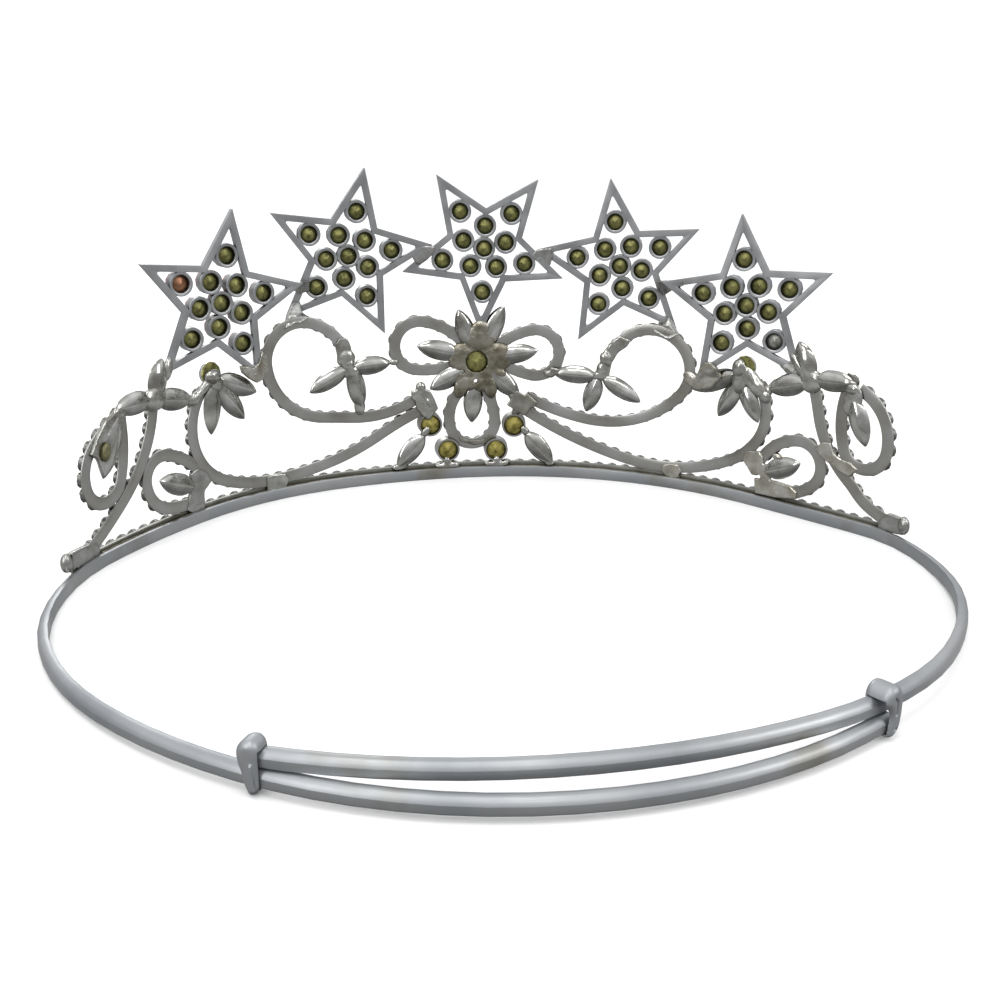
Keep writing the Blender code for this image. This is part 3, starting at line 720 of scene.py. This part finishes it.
def satin_metal(name, low, high, dark, rough, bump=0.15, clouding=260.0, grain=(2600.0, 0.00005)):
    """White metal rubbed to a satin, cloudy on its flats and darker in its corners: tarnish and painted
    shade.
    """
    material, tree, shader = finish_nodes(name)
    clouds = noise(tree, clouding, 5.0)
    # the colour is darkened in corners: tarnish and painted shade
    colour = tarnish_and_painted_shade(tree, ramp(tree, clouds, [(0.32, low), (0.68, high)]), dark)
    dress(tree, shader, colour, spread(tree, clouds, *rough))
    fineness, depth = grain
    relief(tree, shader, noise(tree, fineness, 3.0), bump, depth)
    return material


def solder_metal(name, stops, rough, pitted):
    """Solder left as it ran: clouded, pitted, bright where it is smooth."""
    material, tree, shader = finish_nodes(name)
    clouds = noise(tree, 420.0, 6.0)
    pits = noise(tree, 1500.0, 4.0)
    # painted shade and tarnish: the solder's colour is darkened in its corners
    colour = tarnish_and_painted_shade(tree, ramp(tree, clouds, stops), (0.07, 0.06, 0.04))
    dress(tree, shader, colour, spread(tree, pits, *rough))
    relief(tree, shader, pits, pitted, 0.00012)
    return material


def foil(name, low, high):
    """Lacquered foil on the pointed back of a stone."""
    material, tree, shader = finish_nodes(name)
    wrinkles = noise(tree, 900.0, 4.0)
    colour = ramp(tree, wrinkles, [(0.3, low), (0.7, high)])
    # painted shade and tarnish: the foil's colour is darkened in the corners round it
    colour = tarnish_and_painted_shade(tree, colour, tuple(0.25 * part for part in low), 0.75 * CORNER_REACH)
    dress(tree, shader, colour, spread(tree, wrinkles, 0.25, 0.42), 0.75)
    relief(tree, shader, wrinkles, 0.35, 0.00015)
    return material


def cut_glass(name, colour, deep):
    """Foil-backed cut glass, its colour deeper in some facets than in others."""
    material, tree, shader = finish_nodes(name)
    depth = noise(tree, 700.0, 2.0)
    tint = ramp(tree, depth, [(0.35, deep), (0.62, colour)])
    dress(tree, shader, tint, spread(tree, depth, 0.04, 0.12), 0.45)
    shader.inputs["Coat Weight"].default_value = 1.0
    shader.inputs["Coat Roughness"].default_value = 0.02
    return material


BAND_METAL = drawn_band_metal()
STAR_METAL = satin_metal("star_plate_metal", (0.40, 0.41, 0.415), (0.51, 0.52, 0.53), (0.09, 0.09, 0.09),
                         (0.34, 0.46))
CHAIN_METAL = satin_metal("chain_back_metal", (0.37, 0.36, 0.325), (0.555, 0.56, 0.55), (0.07, 0.065, 0.045),
                          (0.26, 0.40), clouding=110.0)
# painted shade: the chain's cups get a darker copy of the chain's metal, for their sides seen nearly edge on
CUP_METAL_PAINTED_DARK = satin_metal("chain_cup_painted_shade_metal", (0.15, 0.15, 0.14), (0.29, 0.29, 0.28), (0.03, 0.03, 0.025),
                        (0.25, 0.40))
LEAF_METAL = satin_metal("leaf_metal", (0.33, 0.325, 0.295), (0.66, 0.66, 0.64), (0.06, 0.05, 0.035),
                         (0.08, 0.17), 0.13, grain=(430.0, 0.0005))
SOLDER_METALS = {
    kind: solder_metal(f"{kind}_solder", stops, rough, pitted) for kind, stops, rough, pitted in (
        ("dull", [(0.3, (0.25, 0.245, 0.20)), (0.5, (0.37, 0.36, 0.31)), (0.72, (0.50, 0.49, 0.445))],
         (0.26, 0.42), 0.45),
        ("bright", [(0.3, (0.36, 0.35, 0.31)), (0.5, (0.50, 0.50, 0.47)), (0.7, (0.64, 0.64, 0.62))],
         (0.13, 0.28), 0.3),
        ("smooth", [(0.3, (0.34, 0.345, 0.32)), (0.5, (0.44, 0.445, 0.425)), (0.7, (0.56, 0.565, 0.55))],
         (0.22, 0.36), 0.12),
        ("brassy", [(0.3, (0.40, 0.38, 0.31)), (0.5, (0.58, 0.565, 0.50)), (0.7, (0.76, 0.75, 0.70))],
         (0.18, 0.34), 0.2),
        ("browned", [(0.3, (0.17, 0.155, 0.105)), (0.5, (0.32, 0.30, 0.235)), (0.72, (0.50, 0.48, 0.42))],
         (0.22, 0.40), 0.8),
        ("seam", [(0.3, (0.10, 0.09, 0.055)), (0.5, (0.17, 0.155, 0.11)), (0.72, (0.28, 0.265, 0.21))],
         (0.3, 0.45), 0.5))
}
BASE_METAL = satin_metal("base_strip_metal", (0.20, 0.20, 0.17), (0.36, 0.36, 0.33), (0.05, 0.045, 0.03),
                         (0.34, 0.48))
GOLD_FOIL = foil("olive_foil", (0.10, 0.10, 0.035), (0.32, 0.31, 0.11))
BRIGHT_FOIL = foil("gold_foil", (0.17, 0.15, 0.03), (0.50, 0.43, 0.13))
PEAR_FOIL = foil("dull_olive_foil", (0.09, 0.085, 0.04), (0.26, 0.25, 0.14))
# (number of the stone whose lacquer has worn, its foil) of two of the stars
WORN_FOILS = {
    "star_red": (9, foil("worn_red_foil", (0.20, 0.10, 0.05), (0.52, 0.25, 0.15))),
    "star_blue": (5, foil("worn_silver_foil", (0.12, 0.12, 0.10), (0.48, 0.48, 0.44))),
}
CLEAR_GLASS = cut_glass("clear_glass", (0.88, 0.90, 0.93), (0.42, 0.45, 0.50))
STAR_GLASS = {
    "star_red": cut_glass("red_glass", (0.62, 0.02, 0.04), (0.16, 0.0, 0.01)),
    "star_green": cut_glass("green_glass", (0.02, 0.42, 0.14), (0.0, 0.12, 0.04)),
    "star_white": cut_glass("white_glass", (0.90, 0.91, 0.93), (0.5, 0.52, 0.56)),
    "star_yellow": cut_glass("yellow_glass", (0.90, 0.62, 0.06), (0.42, 0.24, 0.01)),
    "star_blue": cut_glass("blue_glass", (0.03, 0.12, 0.62), (0.0, 0.02, 0.18)),
}

steps_along = range(int(LINE_END - LINE_START) * LINE_STEPS + 1)
line_lengths = [LINE_START + step / LINE_STEPS for step in steps_along]
band_line = guide_line("band_line", [along(u)[:2] for u in line_lengths])


# ---------------------------------------------------------------- the band and its collars

def make_band():
    """The head band: a strip of D section, flat inside, domed outside, lifted a little towards the back."""
    length = LEFT_END + RIGHT_END
    band = block("head_band", (length / 2 - RIGHT_END - LINE_START, -BAND_THICK / 2, BAND_HEIGHT / 2),
                 (length, BAND_THICK, BAND_HEIGHT))
    work(band)
    long_edge = lambda edge: runs_along(edge, 1)
    outside = lambda edge: long_edge(edge) and middle(edge).y < -BAND_THICK + NEAR
    round_off(lambda edge: outside(edge) and middle(edge).z > BAND_HEIGHT / 2, BAND_SHOULDER, 3,
              profile=0.42)
    pick("EDGE", lambda edge: outside(edge) and abs(middle(edge).z - BAND_HEIGHT + BAND_SHOULDER) < 2 * NEAR)
    bpy.ops.mesh.mark_sharp()
    round_off(lambda edge: outside(edge) and middle(edge).z < NEAR, BAND_LOWER_EDGE, 3)
    round_off(lambda edge: long_edge(edge) and middle(edge).y > -NEAR, BAND_INNER_EDGE, 2)
    cut_across(long_edge, BAND_CUTS)
    put_down()
    lifted = guide_line("lifted_band_line", [(*along(u)[:2], rise(u)) for u in line_lengths])
    worked(band, "CURVE", object=lifted, deform_axis="POS_X")
    bpy.data.objects.remove(lifted)
    band.data.transform(TO_METRES)
    return finish_piece(band, BAND_METAL, "band")


def cut_away(piece, tool):
    """Cuts the shape of the tool out of the piece."""
    worked(piece, "BOOLEAN", operation="DIFFERENCE", object=tool, solver="EXACT")
    bpy.data.objects.remove(tool)


def make_collar(name, lower, upper, slot_thick, outline, creases):
    """A fold of metal round the two strips: knobbed above, narrower below, creased where it closes."""
    thick = slot_thick + 2 * COLLAR_WALL
    side = bpy.data.curves.new(f"{name}_side", "CURVE")
    side.dimensions = "2D"
    side.fill_mode = "BOTH"
    side.extrude = thick / 2 - COLLAR_EDGE
    side.bevel_depth = COLLAR_EDGE
    side.bevel_resolution = 4
    side.offset = -COLLAR_EDGE
    spline = side.splines.new("NURBS")
    spline.points.add(len(outline) - 1)
    for corner, (x, y) in zip(spline.points, outline):
        corner.co = (x, y, 0, 1)
    spline.order_u = 3
    spline.use_cyclic_u = True
    collar = bpy.data.objects.new(f"{name}_ring", side)
    bpy.context.scene.collection.objects.link(collar)
    take(collar)
    bpy.ops.object.convert(target="MESH")
    collar = bpy.context.object
    cut_away(collar, block("slot", (0, SLOT_MIDDLE, 0), (SLOT_REACH, SLOT_HEIGHT, slot_thick)))
    for (x0, y0), (x1, y1) in creases:
        cut_away(collar, block("crease", ((x0 + x1) / 2, (y0 + y1) / 2, thick / 2),
                               (math.dist((x0, y0), (x1, y1)) + 0.2, CREASE_WIDTH, CREASE_DEPTH),
                               math.atan2(y1 - y0, x1 - x0)))
    if name == "right_collar":
        cut_away(collar, rod("pin", 20, PIN_RADIUS, thick / 2 - PIN_DEPTH, thick / 2 + PIN_DEPTH, PIN_HOLE))
    worked(collar, "REMESH", mode="VOXEL", voxel_size=COLLAR_GRAIN)
    worked(collar, "SMOOTH", factor=0.5, iterations=4)
    (x1, y1, h1), (x2, y2, h2) = along(lower), along(upper)
    half = BAND_THICK / 2
    centre = Vector((x1 + half * math.sin(h1) + x2 + half * math.sin(h2),
                     y1 - half * math.cos(h1) + y2 - half * math.cos(h2), 0)) / 2
    heading = (h1 + h2) / 2 + math.pi
    facing = (Matrix.Rotation(heading - math.pi / 2, 4, "Z") @ Matrix.Rotation(math.pi / 2, 4, "X")
              @ Matrix.Rotation(math.pi / 2, 4, "Y"))
    collar.data.transform(TO_METRES @ Matrix.Translation(centre) @ facing)
    return finish_piece(collar, BAND_METAL, name, smooth=60)


# ---------------------------------------------------------------- cup chain

def chain_cup(back, rim):
    """One cup of the chain, with a rim and four claws, half a pitch from the start."""
    at = CHAIN_PITCH / 2
    cup = rod("chain_cup", 12, CUP_RADIUS, back, rim, (at, 0))
    work(cup)
    pick("FACE", faces_down)
    grow(0.86, 0.86, 1, (at, 0, back))
    pick("FACE", faces_up)
    bpy.ops.mesh.inset(thickness=CUP_RIM)
    push(-CUP_SEAT)
    pick("FACE", lambda face: faces_up(face) and middle(face).z > rim - NEAR
         and abs(abs(middle(face).x - at) - abs(middle(face).y)) < 0.2)
    push(CLAW_HEIGHT)
    grow(CLAW_LEAN, CLAW_LEAN, 1, (at, 0, rim))
    put_down()
    return cup


def cut_stone(name, radius, sides, depths, shoulder=0.72, table=0.6):
    """A cut stone lying table up: its point, shoulder, girdle, crown and table at these depths."""
    point, low, girdle, crown, top = depths
    stone = rod(name, sides, radius, girdle, crown)
    work(stone)
    pick("FACE", faces_down)
    push(low - girdle)
    grow(shoulder, shoulder, 1, (0, 0, low))
    push(point - low)
    grow(0.04, 0.04, 1, (0, 0, point))
    pick("FACE", faces_up)
    push(top - crown)
    grow(table, table, 1, (0, 0, top))
    bpy.ops.transform.rotate(value=math.pi / sides, orient_axis="Z", center_override=(0, 0, top))
    bpy.ops.mesh.select_all(action="SELECT")
    bpy.ops.mesh.quads_convert_to_tris(quad_method="BEAUTY")
    put_down()
    return stone


def make_chain(name, points, total, depths, metal):
    """A strip of cup chain along these points of the layout: its back plate, its cups and its stones."""
    back, plate, front = depths
    cups = max(1, round(total / CHAIN_PITCH))
    guide = guide_line(f"{name}_line", points)
    flat = bendable_strip("chain_back", (total / 2, 0, (back + plate) / 2),
                          (total, CHAIN_WIDTH, plate - back), CHAIN_EDGE, 2, round(total / CHAIN_CUT) - 1)
    flat.data.materials.append(metal)
    row = chain_cup(plate - CUP_SUNK, front - CUP_BELOW)
    row.data.materials.append(CUP_METAL_PAINTED_DARK)
    stones = cut_stone("chain_stone", CHAIN_STONE_RADIUS, 8, [front - depth for depth in CHAIN_STONE_DEPTHS])
    stones.data.transform(Matrix.Translation((CHAIN_PITCH / 2, 0, 0)))
    for part in (row, stones):
        worked(part, "ARRAY", count=cups, use_relative_offset=False, use_constant_offset=True,
               constant_offset_displace=(total / cups, 0, 0))
    chain = joined(f"{name}_chain", [flat, row])
    for part in (chain, stones):
        worked(part, "CURVE", object=guide, deform_axis="POS_X")
        onto_band(part)
    bpy.data.objects.remove(guide)
    stones.name = f"{name}_stones"
    stones.data.name = stones.name
    finish_piece(stones, CLEAR_GLASS, smooth=0)
    return finish_piece(chain, None, name, smooth=40)


def make_base_chain():
    """The long strip of cup chain in front of the band, dropping slightly to its ends."""
    start = -BASE_CUPS_RIGHT * CHAIN_PITCH
    count = BASE_CUPS_LEFT + BASE_CUPS_RIGHT
    lengths = [start + quarter * CHAIN_PITCH / 4 for quarter in range(4 * count + 1)]
    points = [(u, BASE_MIDDLE - BASE_DROP * (u / start) ** 2) for u in lengths]
    return make_chain("base_stone_strip", points, count * CHAIN_PITCH, BASE_DEPTHS, BASE_METAL)


# ---------------------------------------------------------------- stars

def star_frame():
    """The pierced star plate: a flat bar all round, with soft inside corners."""
    put_down()
    bpy.ops.mesh.primitive_circle_add(vertices=10, radius=STAR_RADIUS, fill_type="NGON")
    plate = blank("star_frame")
    work(plate)
    turned = lambda corner: round(math.degrees(math.atan2(corner.co.y, corner.co.x)) - 90) % 72
    pick("VERT", lambda corner: 20 < turned(corner) < 52)
    grow(STAR_NOTCH, STAR_NOTCH, 1, (0, 0, 0))
    pick("FACE", lambda face: True)
    bpy.ops.mesh.inset(thickness=STAR_BAR, use_even_offset=True)
    bpy.ops.mesh.delete(type="FACE")
    pick("FACE", lambda face: True)
    push(STAR_PLATE)
    turn_outwards()
    upright = lambda edge: abs(edge.verts[0].co.z - edge.verts[1].co.z) > 0.5 * STAR_PLATE
    round_off(lambda edge: upright(edge) and 11 < middle(edge).xy.length < 16, STAR_INNER_CORNER, 3)
    round_off(lambda edge: upright(edge) and middle(edge).xy.length > 17, STAR_TIP_CORNER, 1)
    put_down()
    return worked(plate, "BEVEL", width=STAR_EDGE, segments=2, limit_method="ANGLE",
                  angle_limit=math.radians(60))


def star_cup():
    """A short tube with a flat pale rim at its back, open to the stone's foil, and a thin rim in front."""
    back, front = STAR_CUP_DEPTHS
    cup = rod("star_cup", 28, STAR_CUP_RADIUS, back, front)
    work(cup)
    pick("FACE", faces_down)
    bpy.ops.mesh.inset(thickness=STAR_CUP_RIM)
    push(STAR_CUP_LIP)
    grow(0.95, 0.95, 1, (0, 0, back))
    push(1.0)
    pick("FACE", lambda face: faces_up(face) and middle(face).z > front - 0.1)
    bpy.ops.mesh.inset(thickness=STAR_CUP_WALL)
    push(-0.3)
    round_off(lambda edge: abs(middle(edge).z - back) < NEAR and edge.calc_face_angle(0) > 0.5, 0.06, 1)
    put_down()
    return cup


def star_places():
    """Where a star's cups go: the middle, then for each arm its own and the one in the notch beside it."""
    places = [(0.0, 0.0)]
    for number in range(5):
        arm = math.radians(90 + 72 * number)
        notch = arm + math.radians(36)
        places.append((STAR_ARM_CUP * math.cos(arm), STAR_ARM_CUP * math.sin(arm)))
        places.append((STAR_RING * math.cos(notch), STAR_RING * math.sin(notch)))
    return places


def make_stars():
    """Five stars from one pattern, each with its own colour of stone."""
    one_cup = star_cup()
    one_stone = cut_stone("star_stone", STAR_STONE_RADIUS, 12, STAR_STONE_DEPTHS, shoulder=0.74, table=0.56)
    cups = [star_frame()]
    stones = []
    for number, (x, y) in enumerate(star_places()):
        place = Matrix.Translation((x, y, -0.03 * (number % 3)))
        cups.append(copied(one_cup, f"star_cup_{number}", place))
        turned = place @ Matrix.Rotation(0.37 * number, 4, "Z")
        stones.append(copied(one_stone, f"star_stone_{number}", turned))
    pattern = joined("star_pattern", cups)
    stone_pattern = joined("star_stone_pattern", stones)
    faces_each = len(one_stone.data.polygons)
    for name, (u, v), turn, off_tangent, lean, back in STARS:
        place = TO_METRES @ seat(u, v, back, turn, off_tangent, lean)
        plate = copied(pattern, f"{name}_plate", place)
        finish_piece(plate, STAR_METAL, name, smooth=30)
        set_stones = copied(stone_pattern, f"{name}_stones", place)
        set_stones.data.materials.clear()
        worn_stone, worn_foil = WORN_FOILS.get(name, (None, None))
        for material in (STAR_GLASS[name], GOLD_FOIL, worn_foil):
            if material is not None:
                set_stones.data.materials.append(material)
        for index, facet in enumerate(stone_pattern.data.polygons):
            if facet.center.z >= STAR_FOIL_EDGE:
                finish = 0
            elif index // faces_each == worn_stone:
                finish = 2
            else:
                finish = 1
            set_stones.data.polygons[index].material_index = finish
        finish_piece(set_stones, None, smooth=0)
    for spare in (one_cup, one_stone, pattern, stone_pattern):
        bpy.data.objects.remove(spare)


# ---------------------------------------------------------------- leaves

# A leaf's width and thickness along its length, as (along, width, thickness), each a share of the whole
LEAF_PROFILE = [(0.0, 0.30, 0.5), (0.08, 0.56, 0.68), (0.18, 0.82, 0.84), (0.3, 0.97, 0.96),
                (0.42, 1.0, 1.0), (0.55, 0.98, 1.0), (0.67, 0.89, 0.94), (0.78, 0.73, 0.82),
                (0.88, 0.50, 0.62), (0.95, 0.27, 0.38), (1.0, 0.05, 0.10)]


def leaf_pattern():
    """A leaf one long, wide and thick, lying along X: a ridge down the middle of each face, full sides."""
    put_down()
    bpy.ops.mesh.primitive_cylinder_add(vertices=8, radius=0.5, depth=1, location=(0.5, 0, 0),
                                        rotation=(0, math.radians(90), 0))
    leaf = blank("leaf_pattern")
    work(leaf)
    last = len(LEAF_PROFILE) - 1
    cut_across(lambda edge: runs_along(edge, 0.5), last - 1)

    def pick_ring(even):
        pick("VERT", lambda corner: abs(corner.co.x - even) < 0.001)

    rings = [(number / last, *ring) for number, ring in enumerate(LEAF_PROFILE)]
    for even, _, wide, thick in rings:
        pick_ring(even)
        grow(1, wide, thick, (even, 0, 0))
    # the rings are moved from the even spacing in an order in which none passes another
    moves = [(even, x - even) for even, x, _, _ in rings]
    for even, move in [m for m in reversed(moves) if m[1] > 0] + [m for m in moves if m[1] < 0]:
        pick_ring(even)
        bpy.ops.transform.translate(value=(move, 0, 0))
    pick("VERT", lambda corner: abs(corner.co.y) > 0.02 and abs(corner.co.z) > 0.02)
    grow(1, 0.98, 0.86, (0.5, 0, 0))
    pick("EDGE", lambda edge: runs_along(edge, 0.05) and abs(middle(edge).y) < 0.004)
    bpy.ops.transform.edge_crease(value=0.75)
    pick("EDGE", lambda edge: runs_along(edge, 0.05) and abs(middle(edge).z) < 0.004)
    bpy.ops.transform.edge_crease(value=0.9)
    put_down()
    return worked(leaf, "SUBSURF", levels=2, render_levels=2)


def make_leaves():
    """Each casting of leaves, from one pattern."""
    pattern = leaf_pattern()
    for name, node, leaves in LEAVES:
        parts = []
        for number, (base, tip, width) in enumerate(leaves):
            direction = math.atan2(tip[1] - base[1], tip[0] - base[0])
            place = (Matrix.Translation((*base, LEAF_MIDDLE)) @ Matrix.Rotation(direction, 4, "Z")
                     @ Matrix.Diagonal((math.dist(base, tip), width, LEAF_THICK, 1)))
            parts.append(copied(pattern, f"{name}_{number}", place))
        spray = onto_band(joined(name, parts))
        finish_piece(spray, LEAF_METAL, node, smooth=50)
    bpy.data.objects.remove(pattern)


# ---------------------------------------------------------------- round cups

def make_teardrop_foil():
    """The back of the pear-shaped stone that shows through the left teardrop's leaf."""
    put_down()
    bpy.ops.mesh.primitive_uv_sphere_add(segments=20, ring_count=10, radius=1, location=(84.1, 19.9, -0.15),
                                         rotation=(0, 0, math.radians(20)), scale=(1, 1.7, 0.4))
    foil_back = blank("teardrop_foil")
    work(foil_back)
    pick("VERT", lambda corner: corner.co.z > -0.1)
    bpy.ops.transform.translate(value=(0, 0, 0.4))
    put_down()
    finish_piece(onto_band(foil_back), PEAR_FOIL)


def round_cup(name, radius, back, front, hole):
    """An open-backed round cup, thin walled, with six claws bent over the stone in front."""
    rim = front - ROUND_CLAW_HEIGHT
    cup = rod(name, 36, radius, back, rim)
    work(cup)
    pick("FACE", faces_down)
    grow(0.97, 0.97, 1, (0, 0, back))
    bpy.ops.mesh.inset(thickness=radius - hole)
    push(1.2)
    pick("FACE", lambda face: faces_up(face) and middle(face).z > rim - 0.1)
    bpy.ops.mesh.inset(thickness=0.3)
    push(-0.4)
    sixth = math.pi / 3
    pick("FACE", lambda face: faces_up(face) and middle(face).z > rim - NEAR
         and abs((math.atan2(middle(face).y, middle(face).x) + 0.001) % sixth - sixth / 2) < 0.16)
    push(0.33)
    grow(CLAW_LEAN, CLAW_LEAN, 1, (0, 0, rim))
    put_down()
    return cup


def set_cup(cup, stone, backing, place, node=None):
    """Puts a cup in its place with its stone, glass in front and foil behind."""
    stone.data.materials.append(CLEAR_GLASS)
    stone.data.materials.append(backing)
    for facet in stone.data.polygons:
        facet.material_index = 1 if facet.normal.z < -0.2 else 0
    cup.data.transform(place)
    stone.data.transform(place)
    finish_piece(cup, CHAIN_METAL, node, smooth=40)
    finish_piece(stone, None, smooth=0)


def make_round_cups():
    """The four single cups under the flower, then the ones set in the flower and the side sprays."""
    for name, (u, v) in ROUND_CUPS:
        cup = round_cup(f"{name}_metal", *ROUND_CUP_SIZE, ROUND_CUP_HOLE)
        stone = cut_stone(f"{name}_stone", ROUND_STONE_RADIUS, 12, ROUND_STONE_DEPTHS, shoulder=0.97)
        set_cup(cup, stone, BRIGHT_FOIL, TO_METRES @ seat(u, v, 0, turn=7 * u), name)
    for name, (u, v), (radius, back, front), (stone_radius, depths, shoulder) in SPRAY_CUPS:
        cup = round_cup(name, radius, back, front, radius - SPRAY_CUP_WALL)
        stone = cut_stone(f"{name}_stone", stone_radius, 12, depths, shoulder=shoulder)
        set_cup(cup, stone, GOLD_FOIL, TO_METRES @ seat(u, v, 0))


# ---------------------------------------------------------------- solder

def dab(u, v, w, long, wide, deep, turn=0, flat=False):
    """One ball or flat block of solder before it is run together with its neighbours."""
    if flat:
        return block("pad", (u, v, w), (2 * long, 2 * wide, 2 * deep), math.radians(turn))
    put_down()
    bpy.ops.mesh.primitive_ico_sphere_add(subdivisions=3, radius=1, location=(u, v, w),
                                          rotation=(0, 0, math.radians(turn)), scale=(long, wide, deep))
    return blank("dab")


def web(thick, depths, outline):
    """A sheet of solder run between pieces, through the corners of its outline."""
    count = len(outline)
    if not isinstance(depths, list):
        depths = [depths] * count
    corners = [Vector((u, v, w)) - Vector((0, 0, thick / 2)) for (u, v), w in zip(outline, depths)]
    put_down()
    bpy.ops.mesh.primitive_circle_add(vertices=count, radius=1, fill_type="TRIFAN")
    sheet = blank("web")
    moves = []
    for vertex in sheet.data.vertices:
        if vertex.co.length > 0.5:
            # the circle's own first corner is a quarter turn on
            number = round(math.atan2(vertex.co.y, vertex.co.x) / (2 * math.pi) * count - count / 4) % count
            moves.append((vertex.index, corners[number] - vertex.co))
        else:
            moves.append((vertex.index, sum(corners, Vector()) / count))
    work(sheet)
    for number, move in moves:
        pick("VERT", lambda corner: corner.index == number)
        bpy.ops.transform.translate(value=move)
    bpy.ops.mesh.select_all(action="SELECT")
    push(thick)
    turn_outwards()
    put_down()
    return sheet


def make_seam():
    """A dark, lumpy run along the band's shoulder, under the long strip of stones."""
    right_end, left_end = -BASE_CUPS_RIGHT * CHAIN_PITCH, BASE_CUPS_LEFT * CHAIN_PITCH
    seam = bendable_strip("long_seam_solder", ((left_end + right_end) / 2, *SEAM_AT),
                          (left_end - right_end, SEAM_SIZE, SEAM_SIZE), SEAM_EDGE, 3, SEAM_CUTS)
    worked(seam, "DISPLACE", texture=lumps, strength=SEAM_UNEVENNESS, mid_level=0.5)
    finish_piece(onto_band(seam), SOLDER_METALS["seam"], smooth=60)


def make_solder():
    """Each joint's solder: dabs, flat pads and sheets run together, then left slightly uneven."""
    for name, (metal, dabs) in SOLDER.items():
        parts = [dab(*row) for row in dabs]
        parts += [dab(*row, flat=True) for row in SOLDER_PADS.get(name, [])]
        parts += [web(*sheet) for sheet in SOLDER_WEBS.get(name, [])]
        solder = joined(name, parts)
        worked(solder, "REMESH", mode="VOXEL", voxel_size=SOLDER_GRAIN)
        if name == "flower_solder":
            for place, radius in FLOWER_HOLES:
                cut_away(solder, rod("drill", 32, radius, *DRILL, place))
        worked(solder, "SMOOTH", factor=0.5, iterations=9)
        worked(solder, "DISPLACE", texture=lumps, strength=SOLDER_UNEVENNESS, mid_level=0.5)
        finish_piece(onto_band(solder), SOLDER_METALS[metal], smooth=60)


lumps = bpy.data.textures.new("solder_lumps", "CLOUDS")
lumps.noise_scale = 1.7
lumps.noise_depth = 2

make_band()
for collar in COLLARS:
    make_collar(*collar)
for strip, start, heading, bends in CHAIN_STRIPS:
    before, after = RUNS_ON[strip]
    make_chain(strip, drawn_on(walk(start, heading, bends, WALK_STEP), before, after),
               before + sum(length for length, _ in bends) + after, CHAIN_DEPTHS, CHAIN_METAL)
make_base_chain()
make_stars()
make_leaves()
make_teardrop_foil()
make_round_cups()
make_solder()
make_seam()
bpy.data.objects.remove(band_line)

# ---------------------------------------------------------------- the studio

put_down()
bpy.ops.mesh.primitive_plane_add(size=12, location=(0, 0, 0))
floor = blank("studio_floor")
paper, paper_tree, paper_shader = finish_nodes("pale_paper")
paper_colour = ramp(paper_tree, noise(paper_tree, 3.0, 2.0),
                    [(0.3, (0.91, 0.91, 0.91)), (0.7, (0.93, 0.93, 0.93))])
link(paper_tree, paper_colour, paper_shader.inputs["Base Color"])
paper_shader.inputs["Roughness"].default_value = 0.9
paper_shader.inputs["Specular IOR Level"].default_value = 0.1
floor.data.materials.append(paper)

# The camera looks down a little on the crown from behind it
EYE = Vector((0.02855, 0.17312, 0.0751))
YAW, PITCH, ROLL = math.radians(8.56), math.radians(18.69), math.radians(0.28)
LENS = 8 / 7 * 36
ahead = Vector((-math.sin(YAW) * math.cos(PITCH), -math.cos(YAW) * math.cos(PITCH), -math.sin(PITCH)))
right = Vector((-math.cos(YAW), math.sin(YAW), 0))
up = right.cross(ahead)
right, up = math.cos(ROLL) * right + math.sin(ROLL) * up, math.cos(ROLL) * up - math.sin(ROLL) * right
camera = bpy.data.objects.new("camera", bpy.data.cameras.new("camera"))
camera.matrix_world = Matrix.Translation(EYE) @ Matrix((right, up, -ahead)).transposed().to_4x4()
camera.data.sensor_width = 36
camera.data.lens = LENS
camera.data.clip_start = 0.005
bpy.context.scene.collection.objects.link(camera)
bpy.context.scene.camera = camera


def softbox(name, place, aim, size, power):
    light = bpy.data.objects.new(name, bpy.data.lights.new(name, "AREA"))
    light.data.shape = "RECTANGLE"
    light.data.size, light.data.size_y = size
    light.data.energy = power
    light.location = place
    light.rotation_euler = (Vector(aim) - Vector(place)).to_track_quat("-Z", "Y").to_euler()
    bpy.context.scene.collection.objects.link(light)


softbox("over_softbox", (0.1, 0.15, 0.7), (0, 0, 0), (0.28, 0.28), 1.0)
softbox("left_softbox", (0.6, 0.42, 0.35), (0, -0.03, 0.03), (0.09, 0.5), 1.0)
softbox("right_softbox", (-0.6, 0.3, 0.4), (0, -0.03, 0.03), (0.08, 0.45), 0.8)
softbox("back_softbox", (0.12, 0.62, 0.62), (0, 0, 0.03), (0.5, 0.07), 0.7)
softbox("front_softbox", (0.15, -0.7, 0.4), (0, 0, 0.03), (0.3, 0.3), 0.8)

# The room is pale; what polished metal mirrors of it is dimmer low down than overhead
sky = bpy.data.worlds.new("studio_room")
sky.use_nodes = True
bpy.context.scene.world = sky
sky_tree = sky.node_tree
sky_shader = sky_tree.nodes["Background"]
sky_place = sky_tree.nodes.new("ShaderNodeTexCoord")
height = sky_tree.nodes.new("ShaderNodeSeparateXYZ")
link(sky_tree, sky_place.outputs["Generated"], height.inputs["Vector"])
room = ramp(sky_tree, spread(sky_tree, height.outputs["Z"], 0, 1, -1, 1),
            [(0.1, (0.18, 0.18, 0.18)), (0.3, (0.50, 0.50, 0.50)), (0.44, (0.36, 0.36, 0.36)),
             (0.6, (0.42, 0.42, 0.43)), (0.78, (1.1, 1.1, 1.12)), (0.95, (0.6, 0.6, 0.6))])
rays = sky_tree.nodes.new("ShaderNodeLightPath")
pale = sky_tree.nodes.new("ShaderNodeRGB")
pale.outputs[0].default_value = (1.12, 1.12, 1.12, 1)
sky_colour = blended(sky_tree, "MIX", rays.outputs["Is Glossy Ray"], pale.outputs[0], room)
link(sky_tree, sky_colour, sky_shader.inputs["Color"])
sky_shader.inputs["Strength"].default_value = 1.0
floor.visible_glossy = False
bpy.context.scene.view_settings.view_transform = "Standard"
